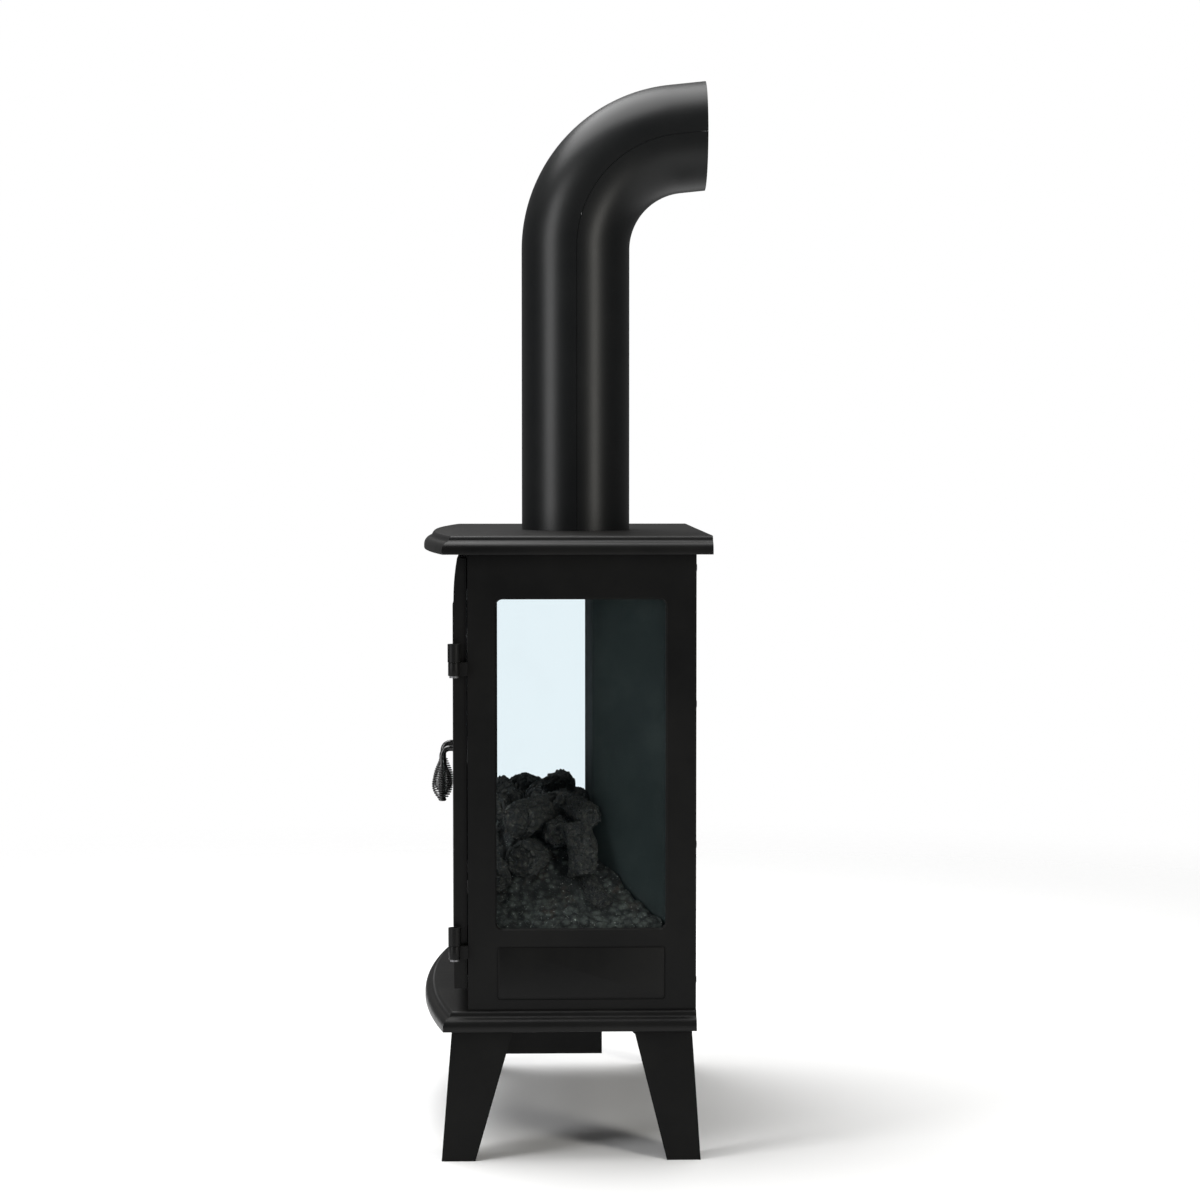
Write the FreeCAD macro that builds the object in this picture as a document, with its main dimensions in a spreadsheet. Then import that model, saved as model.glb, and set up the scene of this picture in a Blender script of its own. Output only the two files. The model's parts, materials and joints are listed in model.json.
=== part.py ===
import FreeCAD, Part
import math
import os
import re

import Sketcher

# Log-effect stove with double doors, glazed sides, a fan heater under the base and a dummy flue pipe.
# Frame: +Z up from the floor, -Y towards the doors, +X to the right of someone facing +Y.
# The origin lies on the floor at the centre of the overall box.

VECTOR = FreeCAD.Vector
SIDES = {"right": 1, "left": -1}
PLANE_SIGN = {"XY": 1, "XZ": -1, "YZ": 1}

# Driving sizes in millimetres (angles in degrees). Every alias holds an underscore.
SIZES = [
    ("stove_height", 610),      # floor to the flat of the top plate
    ("casing_width", 450),      # across the two side panels
    ("casing_front", -99),      # front edges of the side panels
    ("casing_back", 124),       # back edges of the side panels
    ("side_wall", 3),           # side panel sheet
    ("sheet_wall", 2),          # inner sheets
    ("fit_gap", 0.5),           # gap between sheets that slide past each other
    ("turn_fit", 0.05),         # radial clearance of a shaft in its bore
    ("leg_height", 127),        # floor to the underside of the base plate
    ("base_thick", 19),
    ("top_thick", 18),
    ("plate_skin", 4),          # what is left of a plate over its underside recess
    ("plate_overhang", 15),     # lip of a plate past the side panels
    ("plate_front", -146),      # foremost point of the bowed lips
    ("bow_rise", 22.5),         # depth of the bow across the lips
    ("top_back", 139.5),        # rear edge of the top plate
    ("ogee_run", 11),           # width of the moulded edge
    ("window_front", -71),      # side window opening
    ("window_back", 94),
    ("sill_lift", 80),          # window opening above the base plate
    ("window_drop", 62),        # window opening below the top plate's flat
    ("window_corner", 6),
    ("window_bevel", 1.6),
    ("relief_margin", 10),      # shallow panel pressed into the side, above the base plate
    ("relief_tall", 53),
    ("relief_depth", 1.2),
    ("glass_thick", 4),
    ("glass_margin", 9),        # glass hidden behind the metal all round
    ("door_back", -100),
    ("door_thick", 12.5),
    ("door_lift", 21),          # door above the base plate
    ("door_clear", 4),          # door below the top plate's lip
    ("door_gap", 3),            # between the two doors
    ("door_inset", 4),          # door edge to the side panel's plane
    ("door_stile", 42),
    ("door_rail", 62),          # lower rail
    ("door_head", 52),          # upper rail
    ("crown_rise", 3.5),        # how far the door's face falls back at the top
    ("crown_run", 40),
    ("hinge_reach", 3),         # hinge axis outside the side panel's plane
    ("hinge_line", -112),       # hinge axis, front to back
    ("hinge_drop", 101),        # upper hinge's meeting line below the door's top
    ("hinge_lift", 43),         # lower hinge's meeting line above the door's bottom
    ("knuckle_radius", 6.2),
    ("lug_radius", 5.7),
    ("knuckle_height", 18),
    ("lug_height", 13),
    ("pin_radius", 3),
    ("handle_offset", 30),      # handle axis from the middle of the stove
    ("handle_lift", 217),       # handle axis above the door's bottom
    ("rod_radius", 3),
    ("rod_bend", 8),
    ("handle_stand", 15),       # door face to the hanging part of the handle
    ("grip_drop", 16),          # grip's top below the handle axis
    ("grip_taper", 23),         # grip's top to its widest ring
    ("grip_bulb", 16),          # widest ring to the grip's bottom
    ("grip_radius", 10.5),
    ("pipe_radius", 56),
    ("pipe_wall", 1.5),
    ("pipe_axis", 11.5),        # pipe centre, front to back
    ("pipe_straight", 290),     # vertical run above the top plate
    ("pipe_bend", 115.5),       # centreline radius of the bend
    ("pipe_sweep", 84),         # angle of the bend
    ("pipe_end", 146),          # plane of the outlet
    ("spigot_height", 30),
    ("screen_line", 25),        # flame screen, front to back
    ("screen_half", 140),
    ("reveal_back", 98),        # where the slanted reveals meet the side windows
    ("floor_lift", 70),         # firebox floor above the base plate
    ("ceiling_gap", 6),         # firebox ceiling above the window opening
    ("bed_height", 92),         # ember bed above the firebox floor
    ("spindle_line", 62),
    ("spindle_lift", 32),       # spindle above the firebox floor
    ("spindle_half", 118),
    ("heater_half", 125),       # heater box under the base
    ("heater_front", -100),
    ("heater_back", 35),
    ("heater_drop", 44),
    ("fan_line", 8),
    ("fan_radius", 17),
    ("fan_shaft", 2.5),
    ("panel_half", 96),         # control panel behind the doors
    ("panel_line", -80),
    ("panel_lift", 36),         # switches and dial above the base plate
    ("rocker_pivot", 4),        # rocker axis behind the control panel
    ("knob_radius", 11),
    ("gland_offset", -180),
    ("gland_lift", 26),
    ("gland_bore", 4.5),
    ("bolt_radius", 3),
]

# Places that follow from the driving sizes; an expression may use these names like the sheet's own.
PLACES = {
    "base_top": "(leg_height + base_thick)",
    "window_sill": "(base_top + sill_lift)",
    "window_head": "(stove_height - window_drop)",
    "relief_low": "(base_top + relief_margin)",
    "relief_high": "(relief_low + relief_tall)",
    "door_low": "(base_top + door_lift)",
    "door_high": "(stove_height - top_thick - door_clear)",
    "hinge_high": "(door_high - hinge_drop)",
    "hinge_low": "(door_low + hinge_lift)",
    "handle_height": "(door_low + handle_lift)",
    "grip_top": "(handle_height - grip_drop)",
    "grip_waist": "(grip_top - grip_taper)",
    "grip_bottom": "(grip_waist - grip_bulb)",
    "floor_level": "(base_top + floor_lift)",
    "floor_top": "(floor_level + sheet_wall)",
    "ceiling_level": "(window_head + ceiling_gap)",
    "spindle_level": "(floor_top + spindle_lift)",
    "panel_level": "(base_top + panel_lift)",
    "gland_level": "(base_top + gland_lift)",
}

BASE_TOP = "base_top"
CASING_TOP = "(stove_height - plate_skin)"
PLATE_HALF = "(casing_width / 2 + plate_overhang)"
OUTER = "(casing_width / 2)"
PANEL_INNER = "(casing_width / 2 - side_wall)"
GLASS_INNER = "(casing_width / 2 - side_wall - glass_thick)"
INSIDE = "(casing_width / 2 - side_wall - glass_thick - 4)"
BOW_RADIUS = f"(({PLATE_HALF} * {PLATE_HALF} + bow_rise * bow_rise) / (2 * bow_rise))"
FLOOR_TOP = "floor_top"
DOOR_FRONT = "(door_back - door_thick)"
DOOR_OUTER = "(casing_width / 2 - door_inset)"
HINGE_X = "(casing_width / 2 + hinge_reach)"
HANDLE_Y = f"({DOOR_FRONT} - handle_stand)"
HEATER_LOW = "(leg_height - heater_drop)"
FAN_LEVEL = f"({HEATER_LOW} + 24)"

DOCUMENT = FreeCAD.newDocument("log_effect_stove")
SHEET = DOCUMENT.addObject("Spreadsheet::Sheet", "Sizes")
PARTS = []


# ---------------------------------------------------------------- helpers


def fill_sheet():
    for row, (alias, size) in enumerate(SIZES, start=1):
        SHEET.set(f"A{row}", alias)
        SHEET.set(f"B{row}", str(size))
        SHEET.setAlias(f"B{row}", alias)
    DOCUMENT.recompute()


def bound(text):
    """The text as an expression on the sheet: places worked out, and each alias with the sheet's name."""
    text = str(text)
    while any(place in text for place in PLACES):
        text = re.sub(r"\b[a-z]+_[a-z]+\b", lambda word: PLACES.get(word[0], word[0]), text)
    return re.sub(r"\b([a-z]+(?:_[a-z]+)+)\b", r"Sizes.\1", text)


def value(text):
    return float(SHEET.evalExpression(bound(text)))


def new_body(label):
    body = DOCUMENT.addObject("PartDesign::Body", "Body_" + label)
    body.Label = label
    PARTS.append(body)
    return body


def new_sketch(body, plane, level, shift="0"):
    """An empty sketch on an origin plane, at a level along the axis and shifted along its own x."""
    sketch = body.newObject("Sketcher::SketchObject", "Sketch")
    role = plane + "_Plane"
    support = [item for item in body.Origin.OriginFeatures if item.Role == role][0]
    sketch.AttachmentSupport = (support, [""])
    sketch.MapMode = "FlatFace"
    sketch.setExpression("AttachmentOffset.Base.z", bound(f"{PLANE_SIGN[plane]} * ({level})"))
    sketch.setExpression("AttachmentOffset.Base.x", bound(shift))
    return sketch


class Limits:
    """Collects a sketch's constraints, each with the expression that drives it, and adds them in one go."""

    def __init__(self, sketch):
        self.sketch = sketch
        self.constraints = []
        self.drivers = {}

    def drive(self, kind, *target, text):
        self.drivers[len(self.constraints)] = bound(text)
        self.constraints.append(Sketcher.Constraint(kind, *target, value(text)))

    def hold_point(self, piece, end, x, y):
        """Dimensions one end, or the centre, of a line or arc from the sketch's origin."""
        self.drive("DistanceX", -1, 1, piece, end, text=x)
        self.drive("DistanceY", -1, 1, piece, end, text=y)

    def join(self, piece, end, other, start):
        self.constraints.append(Sketcher.Constraint("Coincident", piece, end, other, start))

    def apply(self):
        first = self.sketch.ConstraintCount
        self.sketch.addConstraint(self.constraints)
        for number, text in self.drivers.items():
            self.sketch.setExpression(f"Constraints[{first + number}]", text)


def arc_between(start, end, radius, turn):
    """Arc from start to end, at most half a circle; turn is 1 anticlockwise, -1 clockwise."""
    chord = end - start
    rise = math.sqrt(max(radius * radius - chord.Length * chord.Length / 4, 0))
    normal = VECTOR(-chord.y, chord.x, 0).normalize()
    centre = (start + end) * 0.5 + normal * rise * turn
    first, last = (start, end) if turn > 0 else (end, start)
    angles = [math.atan2(point.y - centre.y, point.x - centre.x) for point in (first, last)]
    return Part.ArcOfCircle(Part.Circle(centre, VECTOR(0, 0, 1), radius), *angles)


def add_outline(sketch, corners, closed=True):
    """Lines and arcs through corners. A corner is (x, y), or (x, y, radius, turn) when an arc leaves it."""
    points = [VECTOR(value(corner[0]), value(corner[1]), 0) for corner in corners]
    count = len(corners) if closed else len(corners) - 1
    first = sketch.GeometryCount
    limits = Limits(sketch)
    pieces, ends = [], []
    for index in range(count):
        start, end = points[index], points[(index + 1) % len(points)]
        if len(corners[index]) == 2:
            pieces.append(Part.LineSegment(start, end))
            ends.append((1, 2))
        else:
            radius, way = corners[index][2:]
            pieces.append(arc_between(start, end, value(radius), way))
            ends.append((1, 2) if way > 0 else (2, 1))
            limits.drive("Radius", first + index, text=radius)
    for index in range(count):
        limits.hold_point(first + index, ends[index][0], *corners[index][:2])
        following = (index + 1) % count
        if closed or following:
            limits.join(first + index, ends[index][1], first + following, ends[following][0])
    if not closed:
        limits.hold_point(first + count - 1, ends[-1][1], *corners[-1][:2])
    sketch.addGeometry(pieces)
    limits.apply()


def add_circle(sketch, x, y, radius):
    piece = sketch.addGeometry(Part.Circle(VECTOR(value(x), value(y), 0), VECTOR(0, 0, 1), value(radius)))
    limits = Limits(sketch)
    limits.hold_point(piece, 3, x, y)
    limits.drive("Radius", piece, text=radius)
    limits.apply()


def box(x_low, x_high, y_low, y_high):
    return [(x_low, y_low), (x_high, y_low), (x_high, y_high), (x_low, y_high)]


def round_box(x_low, x_high, y_low, y_high, radius):
    """Anticlockwise rectangle with rounded corners."""
    return [
        (f"{x_low} + {radius}", y_low),
        (f"{x_high} - {radius}", y_low, radius, 1),
        (x_high, f"{y_low} + {radius}"),
        (x_high, f"{y_high} - {radius}", radius, 1),
        (f"{x_high} - {radius}", y_high),
        (f"{x_low} + {radius}", y_high, radius, 1),
        (x_low, f"{y_high} - {radius}"),
        (x_low, f"{y_low} + {radius}", radius, 1),
    ]


def extrude(body, kind, plane, low, high, outlines=(), circles=()):
    """Pads or pockets outlines and circles between two levels along the plane's axis."""
    from_low = (PLANE_SIGN[plane] > 0) != (kind == "Pocket")
    sketch = new_sketch(body, plane, low if from_low else high)
    for corners in outlines:
        add_outline(sketch, corners)
    for circle in circles:
        add_circle(sketch, *circle)
    feature = body.newObject("PartDesign::" + kind, kind)
    feature.Profile = sketch
    feature.setExpression("Length", bound(f"{high} - ({low})"))
    DOCUMENT.recompute()
    return feature


def pad(body, plane, low, high, outlines=(), circles=()):
    return extrude(body, "Pad", plane, low, high, outlines, circles)


def cut(body, plane, low, high, outlines=(), circles=()):
    """A pocket, which has to take material away."""
    before = body.Shape.Volume
    feature = extrude(body, "Pocket", plane, low, high, outlines, circles)
    if body.Shape.Volume >= before:
        raise ValueError(f"a pocket in {body.Label} cuts nothing")
    return feature


def turn(body, kind, plane, corners, level="0", shift="0"):
    """Revolution or Groove of an outline about the sketch's vertical axis."""
    sketch = new_sketch(body, plane, level, shift)
    add_outline(sketch, corners)
    feature = body.newObject("PartDesign::" + kind, kind)
    feature.Profile = sketch
    feature.ReferenceAxis = (sketch, ["V_Axis"])
    feature.Angle = 360
    DOCUMENT.recompute()
    return feature


def edges_within(shape, low, high):
    """Names of the edges that lie inside a box."""
    region = FreeCAD.BoundBox(*low, *high)
    return [
        f"Edge{number}"
        for number, edge in enumerate(shape.Edges, start=1)
        if region.isInside(edge.BoundBox)
    ]


def repeat(body, feature, pitch, count):
    """Repeats a feature along its sketch's x."""
    pattern = body.newObject("PartDesign::LinearPattern", "Row")
    pattern.Originals = [feature]
    pattern.Direction = (feature.Profile[0], ["H_Axis"])
    pattern.Occurrences = count
    pattern.setExpression("Length", bound(f"({pitch}) * {count - 1}"))
    body.Tip = pattern
    DOCUMENT.recompute()


def soften(body, kind, size, low, high):
    """Fillet or Chamfer on the edges of the body's tip that lie inside a box."""
    names = edges_within(body.Tip.Shape, low, high)
    feature = body.newObject("PartDesign::" + kind, kind)
    feature.Base = (body.Tip if body.Tip != feature else feature.BaseFeature, names)
    feature.setExpression("Radius" if kind == "Fillet" else "Size", bound(size))
    DOCUMENT.recompute()
    return feature


def mirrored(side, low, high):
    """A span given for the right-hand side, in rising order on the side asked for."""
    return (low, high) if side > 0 else (f"-1 * ({high})", f"-1 * ({low})")


# ---------------------------------------------------------------- plates


def ogee(edge, inward, low, thick):
    """Moulded edge from the lip up to the flat: upright lip, bullnose, small cove, rounded arris."""
    return [
        (edge, low),
        (edge, f"{low} + 0.2 * {thick}", f"0.47 * {thick}", inward),
        (f"{edge} - {inward} * 0.5 * ogee_run", f"{low} + 0.66 * {thick}", f"0.3 * {thick}", -inward),
        (f"{edge} - {inward} * 0.8 * ogee_run", f"{low} + 0.86 * {thick}"),
        (f"{edge} - {inward} * ogee_run", f"{low} + {thick}"),
    ]


def moulded_plate(label, low, thick, back):
    """Plate with moulded sides and a bowed, moulded front; its corners are mitred where the two meet."""
    body = new_body(label)
    right_edge = ogee(PLATE_HALF, 1, low, thick)
    left_edge = []
    for index in range(len(right_edge) - 1, -1, -1):
        x, y = right_edge[index][:2]
        arc = right_edge[index - 1][2:] if index else ()
        left_edge.append((f"-1 * ({x})", y, *arc))
    pad(body, "XZ", "plate_front - 20", back, [right_edge + left_edge])
    rim = ogee(f"-1 * {BOW_RADIUS}", -1, low, thick)
    outside = f"-1 * {BOW_RADIUS} - 80"
    above = f"{low} + {thick} + 5"
    ring = rim + [(rim[-1][0], above), (outside, above), (outside, f"{low} - 5"), (rim[0][0], f"{low} - 5")]
    turn(body, "Groove", "YZ", ring, shift=f"plate_front + {BOW_RADIUS}")
    return body


def top_plate():
    body = moulded_plate("top_plate", "stove_height - top_thick", "top_thick", "top_back")
    half_recess = f"({OUTER} + fit_gap)"
    recess = box(f"-1 * {half_recess}", half_recess, "casing_front - fit_gap", "casing_back + fit_gap")
    cut(body, "XY", "stove_height - top_thick", CASING_TOP, [recess])


def base_plate():
    body = moulded_plate("base_plate", "leg_height", "base_thick", "casing_back")
    recess = box("-1 * (heater_half + 18)", "heater_half + 18", "heater_front - 4", "casing_back - 12")
    cut(body, "XY", "leg_height", f"{BASE_TOP} - plate_skin", [recess])
    intake = box("-0.8 * heater_half", "0.8 * heater_half", "heater_back - 55", "heater_back - 8")
    cut(body, "XY", f"{BASE_TOP} - plate_skin", BASE_TOP, [intake])
    holes = [(x, y, "bolt_radius") for x, y in leg_bolt_places()]
    cut(body, "XY", "leg_height", "leg_height + 8", circles=holes)


# ---------------------------------------------------------------- casing


def side_panel(label, side):
    body = new_body(label)
    wall = mirrored(side, PANEL_INNER, OUTER)
    pad(body, "YZ", *wall, [box("casing_front", "casing_back", BASE_TOP, CASING_TOP)])
    window = round_box("window_front", "window_back", "window_sill", "window_head", "window_corner")
    cut(body, "YZ", *wall, [window])
    face = value(OUTER) * side
    reach = value("window_bevel") / 2
    low = (face - reach, value("window_front") - reach, value("window_sill") - reach)
    high = (face + reach, value("window_back") + reach, value("window_head") + reach)
    soften(body, "Chamfer", "window_bevel", low, high)
    relief = round_box("window_front", "window_back", "relief_low", "relief_high", "3")
    cut(body, "YZ", *mirrored(side, f"{OUTER} - relief_depth", OUTER), [relief])
    flange = mirrored(side, f"{PANEL_INNER} - 14", PANEL_INNER)
    flange_back = "casing_back - 1 - sheet_wall"
    flange_outline = box(*flange, f"{flange_back} - sheet_wall", flange_back)
    pad(body, "XY", f"{BASE_TOP} + 4", f"{CASING_TOP} - 4", [flange_outline])
    screws = [(x, z, "2") for x, z in casing_screw_places() if value(x) * side > 0]
    cut(body, "XZ", f"{flange_back} - sheet_wall", flange_back, circles=screws)


def casing_screw_places():
    """Centres (x, z) of the rear panel's screws, in the two side flanges."""
    places = []
    for side in SIDES.values():
        for step in (0.06, 0.35, 0.65, 0.94):
            level = f"{BASE_TOP} + {step} * ({CASING_TOP} - {BASE_TOP})"
            places.append((f"{side} * ({PANEL_INNER} - 8)", level))
    return places


def rear_panel():
    """Back cover with an air inlet low down, an outlet high up and the cable gland's hole."""
    body = new_body("rear_panel")
    front, back = "casing_back - 1 - sheet_wall", "casing_back - 1"
    pad(body, "XZ", front, back, [box(f"-1 * {PANEL_INNER}", PANEL_INNER, BASE_TOP, CASING_TOP)])
    slots = [
        round_box("-135.5", "-128.5", f"({BASE_TOP} + 18)", f"({BASE_TOP} + 52)", "3"),
        round_box("-135.5", "-128.5", f"({CASING_TOP} - 58)", f"({CASING_TOP} - 24)", "3"),
    ]
    repeat(body, cut(body, "XZ", front, back, slots), "22", 13)
    screws = [(x, z, "2") for x, z in casing_screw_places()]
    cut(body, "XZ", front, back, circles=screws + [("gland_offset", "gland_level", "gland_bore + 4")])


def casing_screws():
    body = new_body("casing_screws")
    places = casing_screw_places()
    back = "casing_back - 1"
    pad(body, "XZ", f"{back} - 2 * sheet_wall - 2", back, circles=[(x, z, "2") for x, z in places])
    pad(body, "XZ", back, f"{back} + 2", circles=[(x, z, "3.8") for x, z in places])
    top = value(f"{back} + 2")
    soften(body, "Fillet", "0.9", (-1000, top - 0.1, 0), (1000, top + 0.1, 2000))


def front_frame():
    """Sheet behind the doors, open in front of the firebox and in front of the controls."""
    body = new_body("front_frame")
    back = "casing_front + side_wall"
    pad(body, "XZ", "casing_front", back, [box(f"-1 * {PANEL_INNER}", PANEL_INNER, BASE_TOP, CASING_TOP)])
    view_half = f"({PANEL_INNER} - 26)"
    view = round_box(f"-1 * {view_half}", view_half, "window_sill", f"{CASING_TOP} - 50", "4")
    cut(body, "XZ", "casing_front", back, [view])
    controls_half = "(panel_half - 4)"
    controls_span = ("(panel_level - 25)", "(panel_level + 25)")
    controls = round_box(f"-1 * {controls_half}", controls_half, *controls_span, "5")
    cut(body, "XZ", "casing_front", back, [controls])


def firebox_sheet(label, low):
    body = new_body(label)
    plan = box(f"-1 * {INSIDE}", INSIDE, "casing_front + side_wall", "reveal_back + 2")
    pad(body, "XY", low, f"{low} + sheet_wall", [plan])
    return body


def flame_screen():
    body = new_body("flame_screen")
    front = box("-1 * screen_half", "screen_half", FLOOR_TOP, "ceiling_level")
    pad(body, "XZ", "screen_line", "screen_line + 3", [front])


def reveal(label, side):
    """Slanted sheet from the flame screen's edge out to the rear of the side window."""
    body = new_body(label)
    near, far = f"{side} * (screen_half + 0.5)", f"{side} * {INSIDE}"
    plan = [
        (near, "screen_line"),
        (far, "reveal_back"),
        (far, "reveal_back + sheet_wall"),
        (near, "screen_line + sheet_wall"),
    ]
    pad(body, "XY", FLOOR_TOP, "ceiling_level", [plan])


def side_glass(label, side):
    body = new_body(label)
    pane = box(
        "window_front - glass_margin",
        "window_back + glass_margin",
        "window_sill - glass_margin",
        "window_head + glass_margin",
    )
    pad(body, "YZ", *mirrored(side, GLASS_INNER, PANEL_INNER), [pane])


def side_glass_clips():
    """Four cranked clips a side, hooked over the upper and lower edges of the glass."""
    body = new_body("side_glass_clips")
    edges = (("window_head + glass_margin", 1), ("window_sill - glass_margin", -1))
    for start in ("window_front + 20", "window_back - 32"):
        outlines = []
        for side in SIDES.values():
            for edge, up in edges:
                places = (f"{GLASS_INNER} - 2", GLASS_INNER, PANEL_INNER)
                inner, glass, wall = (f"{side} * ({x})" for x in places)
                clear, end = f"{edge} + {up} * 0.5", f"{edge} + {up} * 4"
                tip = f"{edge} - {up} * 6"
                hook = [(inner, tip), (glass, tip), (glass, clear), (wall, clear), (wall, end), (inner, end)]
                outlines.append(hook)
        pad(body, "XZ", start, f"{start} + 12", outlines)


# ---------------------------------------------------------------- legs


def leg_bolt_places():
    """Two bolts for each leg, through its flange into the base plate."""
    places = []
    for side in SIDES.values():
        for middle in ("casing_front + 14", "casing_back - 34"):
            for step in (-11, 11):
                places.append((f"{side} * ({OUTER} - 30)", f"{middle} + {step}"))
    return places


def leg_section(side, outer_x, outer_y, width, depth, inward):
    """Angle section of a leg, its outside corner at (outer_x, outer_y)."""
    x_in, y_in = f"{side} * ({outer_x} - {width})", f"{outer_y} + {inward} * {depth}"
    x_wall, y_wall = f"{side} * ({outer_x} - sheet_wall)", f"{outer_y} + {inward} * sheet_wall"
    x_out = f"{side} * ({outer_x})"
    front_flange = [(x_out, outer_y), (x_in, outer_y), (x_in, y_wall)]
    side_flange = [(x_wall, y_wall), (x_wall, y_in), (x_out, y_in)]
    return front_flange + side_flange


def leg(label, side, inward, top_y, top_depth, foot_y):
    """Tapered leg folded from sheet, splayed outwards, with a flange under the base plate."""
    body = new_body(label)
    sections = []
    for level, outer_x, outer_y, width, depth in (
        ("leg_height", OUTER, top_y, "58", top_depth),
        ("0", f"{OUTER} + 13", foot_y, "34", "33"),
    ):
        sketch = new_sketch(body, "XY", level)
        add_outline(sketch, leg_section(side, outer_x, outer_y, width, depth, inward))
        sections.append(sketch)
    loft = body.newObject("PartDesign::AdditiveLoft", "Loft")
    loft.Profile = sections[0]
    loft.Sections = [sections[1]]
    loft.Ruled = True
    DOCUMENT.recompute()
    flange_x = mirrored(side, f"{OUTER} - 56", f"{OUTER} - 1")
    flange_y = (f"{top_y} + 1", f"{top_y} + 52") if inward > 0 else (f"{top_y} - 52", f"{top_y} - 1")
    pad(body, "XY", "leg_height - 3", "leg_height", [box(*flange_x, *flange_y)])
    holes = [
        (x, y, "bolt_radius")
        for x, y in leg_bolt_places()
        if value(x) * side > 0 and (value(y) < 0) == (inward > 0)
    ]
    cut(body, "XY", "leg_height - 3", "leg_height", circles=holes)


def leg_bolts():
    body = new_body("leg_bolts")
    places = leg_bolt_places()
    pad(body, "XY", "leg_height - 3", "leg_height + 7", circles=[(x, y, "bolt_radius") for x, y in places])
    heads = [(x, y, "bolt_radius + 2") for x, y in places]
    pad(body, "XY", "leg_height - 7.5", "leg_height - 3", circles=heads)


# ---------------------------------------------------------------- pipe


def pipe_path(body):
    """Centreline: upright, a bend just short of level, and a short run past the outlet plane."""
    sketch = new_sketch(body, "YZ", "0")
    bend_start = "stove_height + pipe_straight"
    bend_y = "pipe_axis + pipe_bend * (1 - cos(pipe_sweep))"
    bend_z = f"{bend_start} + pipe_bend * sin(pipe_sweep)"
    end_y = "pipe_end + 20"
    end_z = f"{bend_z} + ({end_y} - ({bend_y})) * cos(pipe_sweep) / sin(pipe_sweep)"
    corners = [
        ("pipe_axis", "stove_height"),
        ("pipe_axis", bend_start, "pipe_bend", -1),
        (bend_y, bend_z),
        (end_y, end_z),
    ]
    add_outline(sketch, corners, closed=False)
    return sketch


def pipe_half(label, outward):
    """Half shell of the pipe: outward is -1 for the half outside the bend, 1 for the half inside it."""
    body = new_body(label)
    path = pipe_path(body)
    inner = "(pipe_radius - pipe_wall)"
    crown, bore = f"pipe_axis + {outward} * pipe_radius", f"pipe_axis + {outward} * {inner}"
    profile = new_sketch(body, "XY", "stove_height")
    way = -outward
    add_outline(profile, [
        ("-1 * pipe_radius", "pipe_axis", "pipe_radius", way),
        ("0", crown, "pipe_radius", way),
        ("pipe_radius", "pipe_axis"),
        (inner, "pipe_axis", inner, -way),
        ("0", bore, inner, -way),
        (f"-1 * {inner}", "pipe_axis"),
    ])
    sweep = body.newObject("PartDesign::AdditivePipe", "Sweep")
    sweep.Profile = profile
    sweep.Spine = (path, [])
    DOCUMENT.recompute()
    spare_top = "stove_height + 2 * pipe_straight + pipe_bend"
    spare = box("-2 * pipe_radius", "2 * pipe_radius", "stove_height", spare_top)
    cut(body, "XZ", "pipe_end", "pipe_end + 60", [spare])


def pipe_spigot():
    """Ring on the top plate that the pipe stands over."""
    body = new_body("pipe_spigot")
    outer = "pipe_radius - pipe_wall - 0.4"
    rings = [("0", "pipe_axis", outer), ("0", "pipe_axis", f"{outer} - 2")]
    pad(body, "XY", "stove_height", "stove_height + spigot_height", circles=rings)


# ---------------------------------------------------------------- doors


def door_window(margin="0"):
    """Rectangle (x low, x high, z low, z high) of the right door's glazed opening, grown by a margin."""
    return (
        f"(door_gap / 2 + door_stile - {margin})",
        f"({DOOR_OUTER} - door_stile + {margin})",
        f"(door_low + door_rail - {margin})",
        f"(door_high - door_head + {margin})",
    )


def door_opening(side, margin, radius):
    x_low, x_high, z_low, z_high = door_window(margin)
    return round_box(*[f"({x})" for x in mirrored(side, x_low, x_high)], z_low, z_high, radius)


def door_frame(label, side):
    """Thick door frame whose face falls back near the top, rebated behind for its glass."""
    body = new_body(label)
    crown = "((crown_run * crown_run + crown_rise * crown_rise) / (2 * crown_rise))"
    section = [
        (DOOR_FRONT, "door_low"),
        ("door_back", "door_low"),
        ("door_back", "door_high"),
        (f"{DOOR_FRONT} + crown_rise", "door_high", crown, 1),
        (DOOR_FRONT, "door_high - crown_run"),
    ]
    pad(body, "YZ", *mirrored(side, "door_gap / 2", DOOR_OUTER), [section])
    cut(body, "XZ", DOOR_FRONT, "door_back", [door_opening(side, "0", "5")])
    front = value(DOOR_FRONT)
    x_low, x_high, z_low, z_high = (value(text) for text in door_window("0.5"))
    span = sorted((side * x_low, side * x_high))
    soften(body, "Chamfer", "2", (span[0], front - 0.5, z_low), (span[1], front + 0.5, z_high))
    cut(body, "XZ", "door_back - glass_thick - 0.5", "door_back", [door_opening(side, "8.5", "2")])
    hole = (f"{side} * handle_offset", "handle_height", "rod_radius + turn_fit")
    cut(body, "XZ", DOOR_FRONT, "door_back", circles=[hole])


def door_glass(label, side):
    body = new_body(label)
    pane = door_opening(side, "8", "2")
    pad(body, "XZ", "door_back - glass_thick - 0.5", "door_back - 0.5", [pane])


def door_glass_clips(label, side):
    """Four flat tabs that hold the glass into the door's rebate."""
    body = new_body(label)
    x_low, x_high, z_low, z_high = door_window("8")
    tabs = []
    for edge in (x_low, x_high):
        for level in (f"{z_low} + 35", f"{z_high} - 47"):
            tabs.append(box(*mirrored(side, f"{edge} - 5", f"{edge} + 5"), level, f"{level} + 12"))
    pad(body, "XZ", "door_back", "door_back + 1", tabs)


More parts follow.
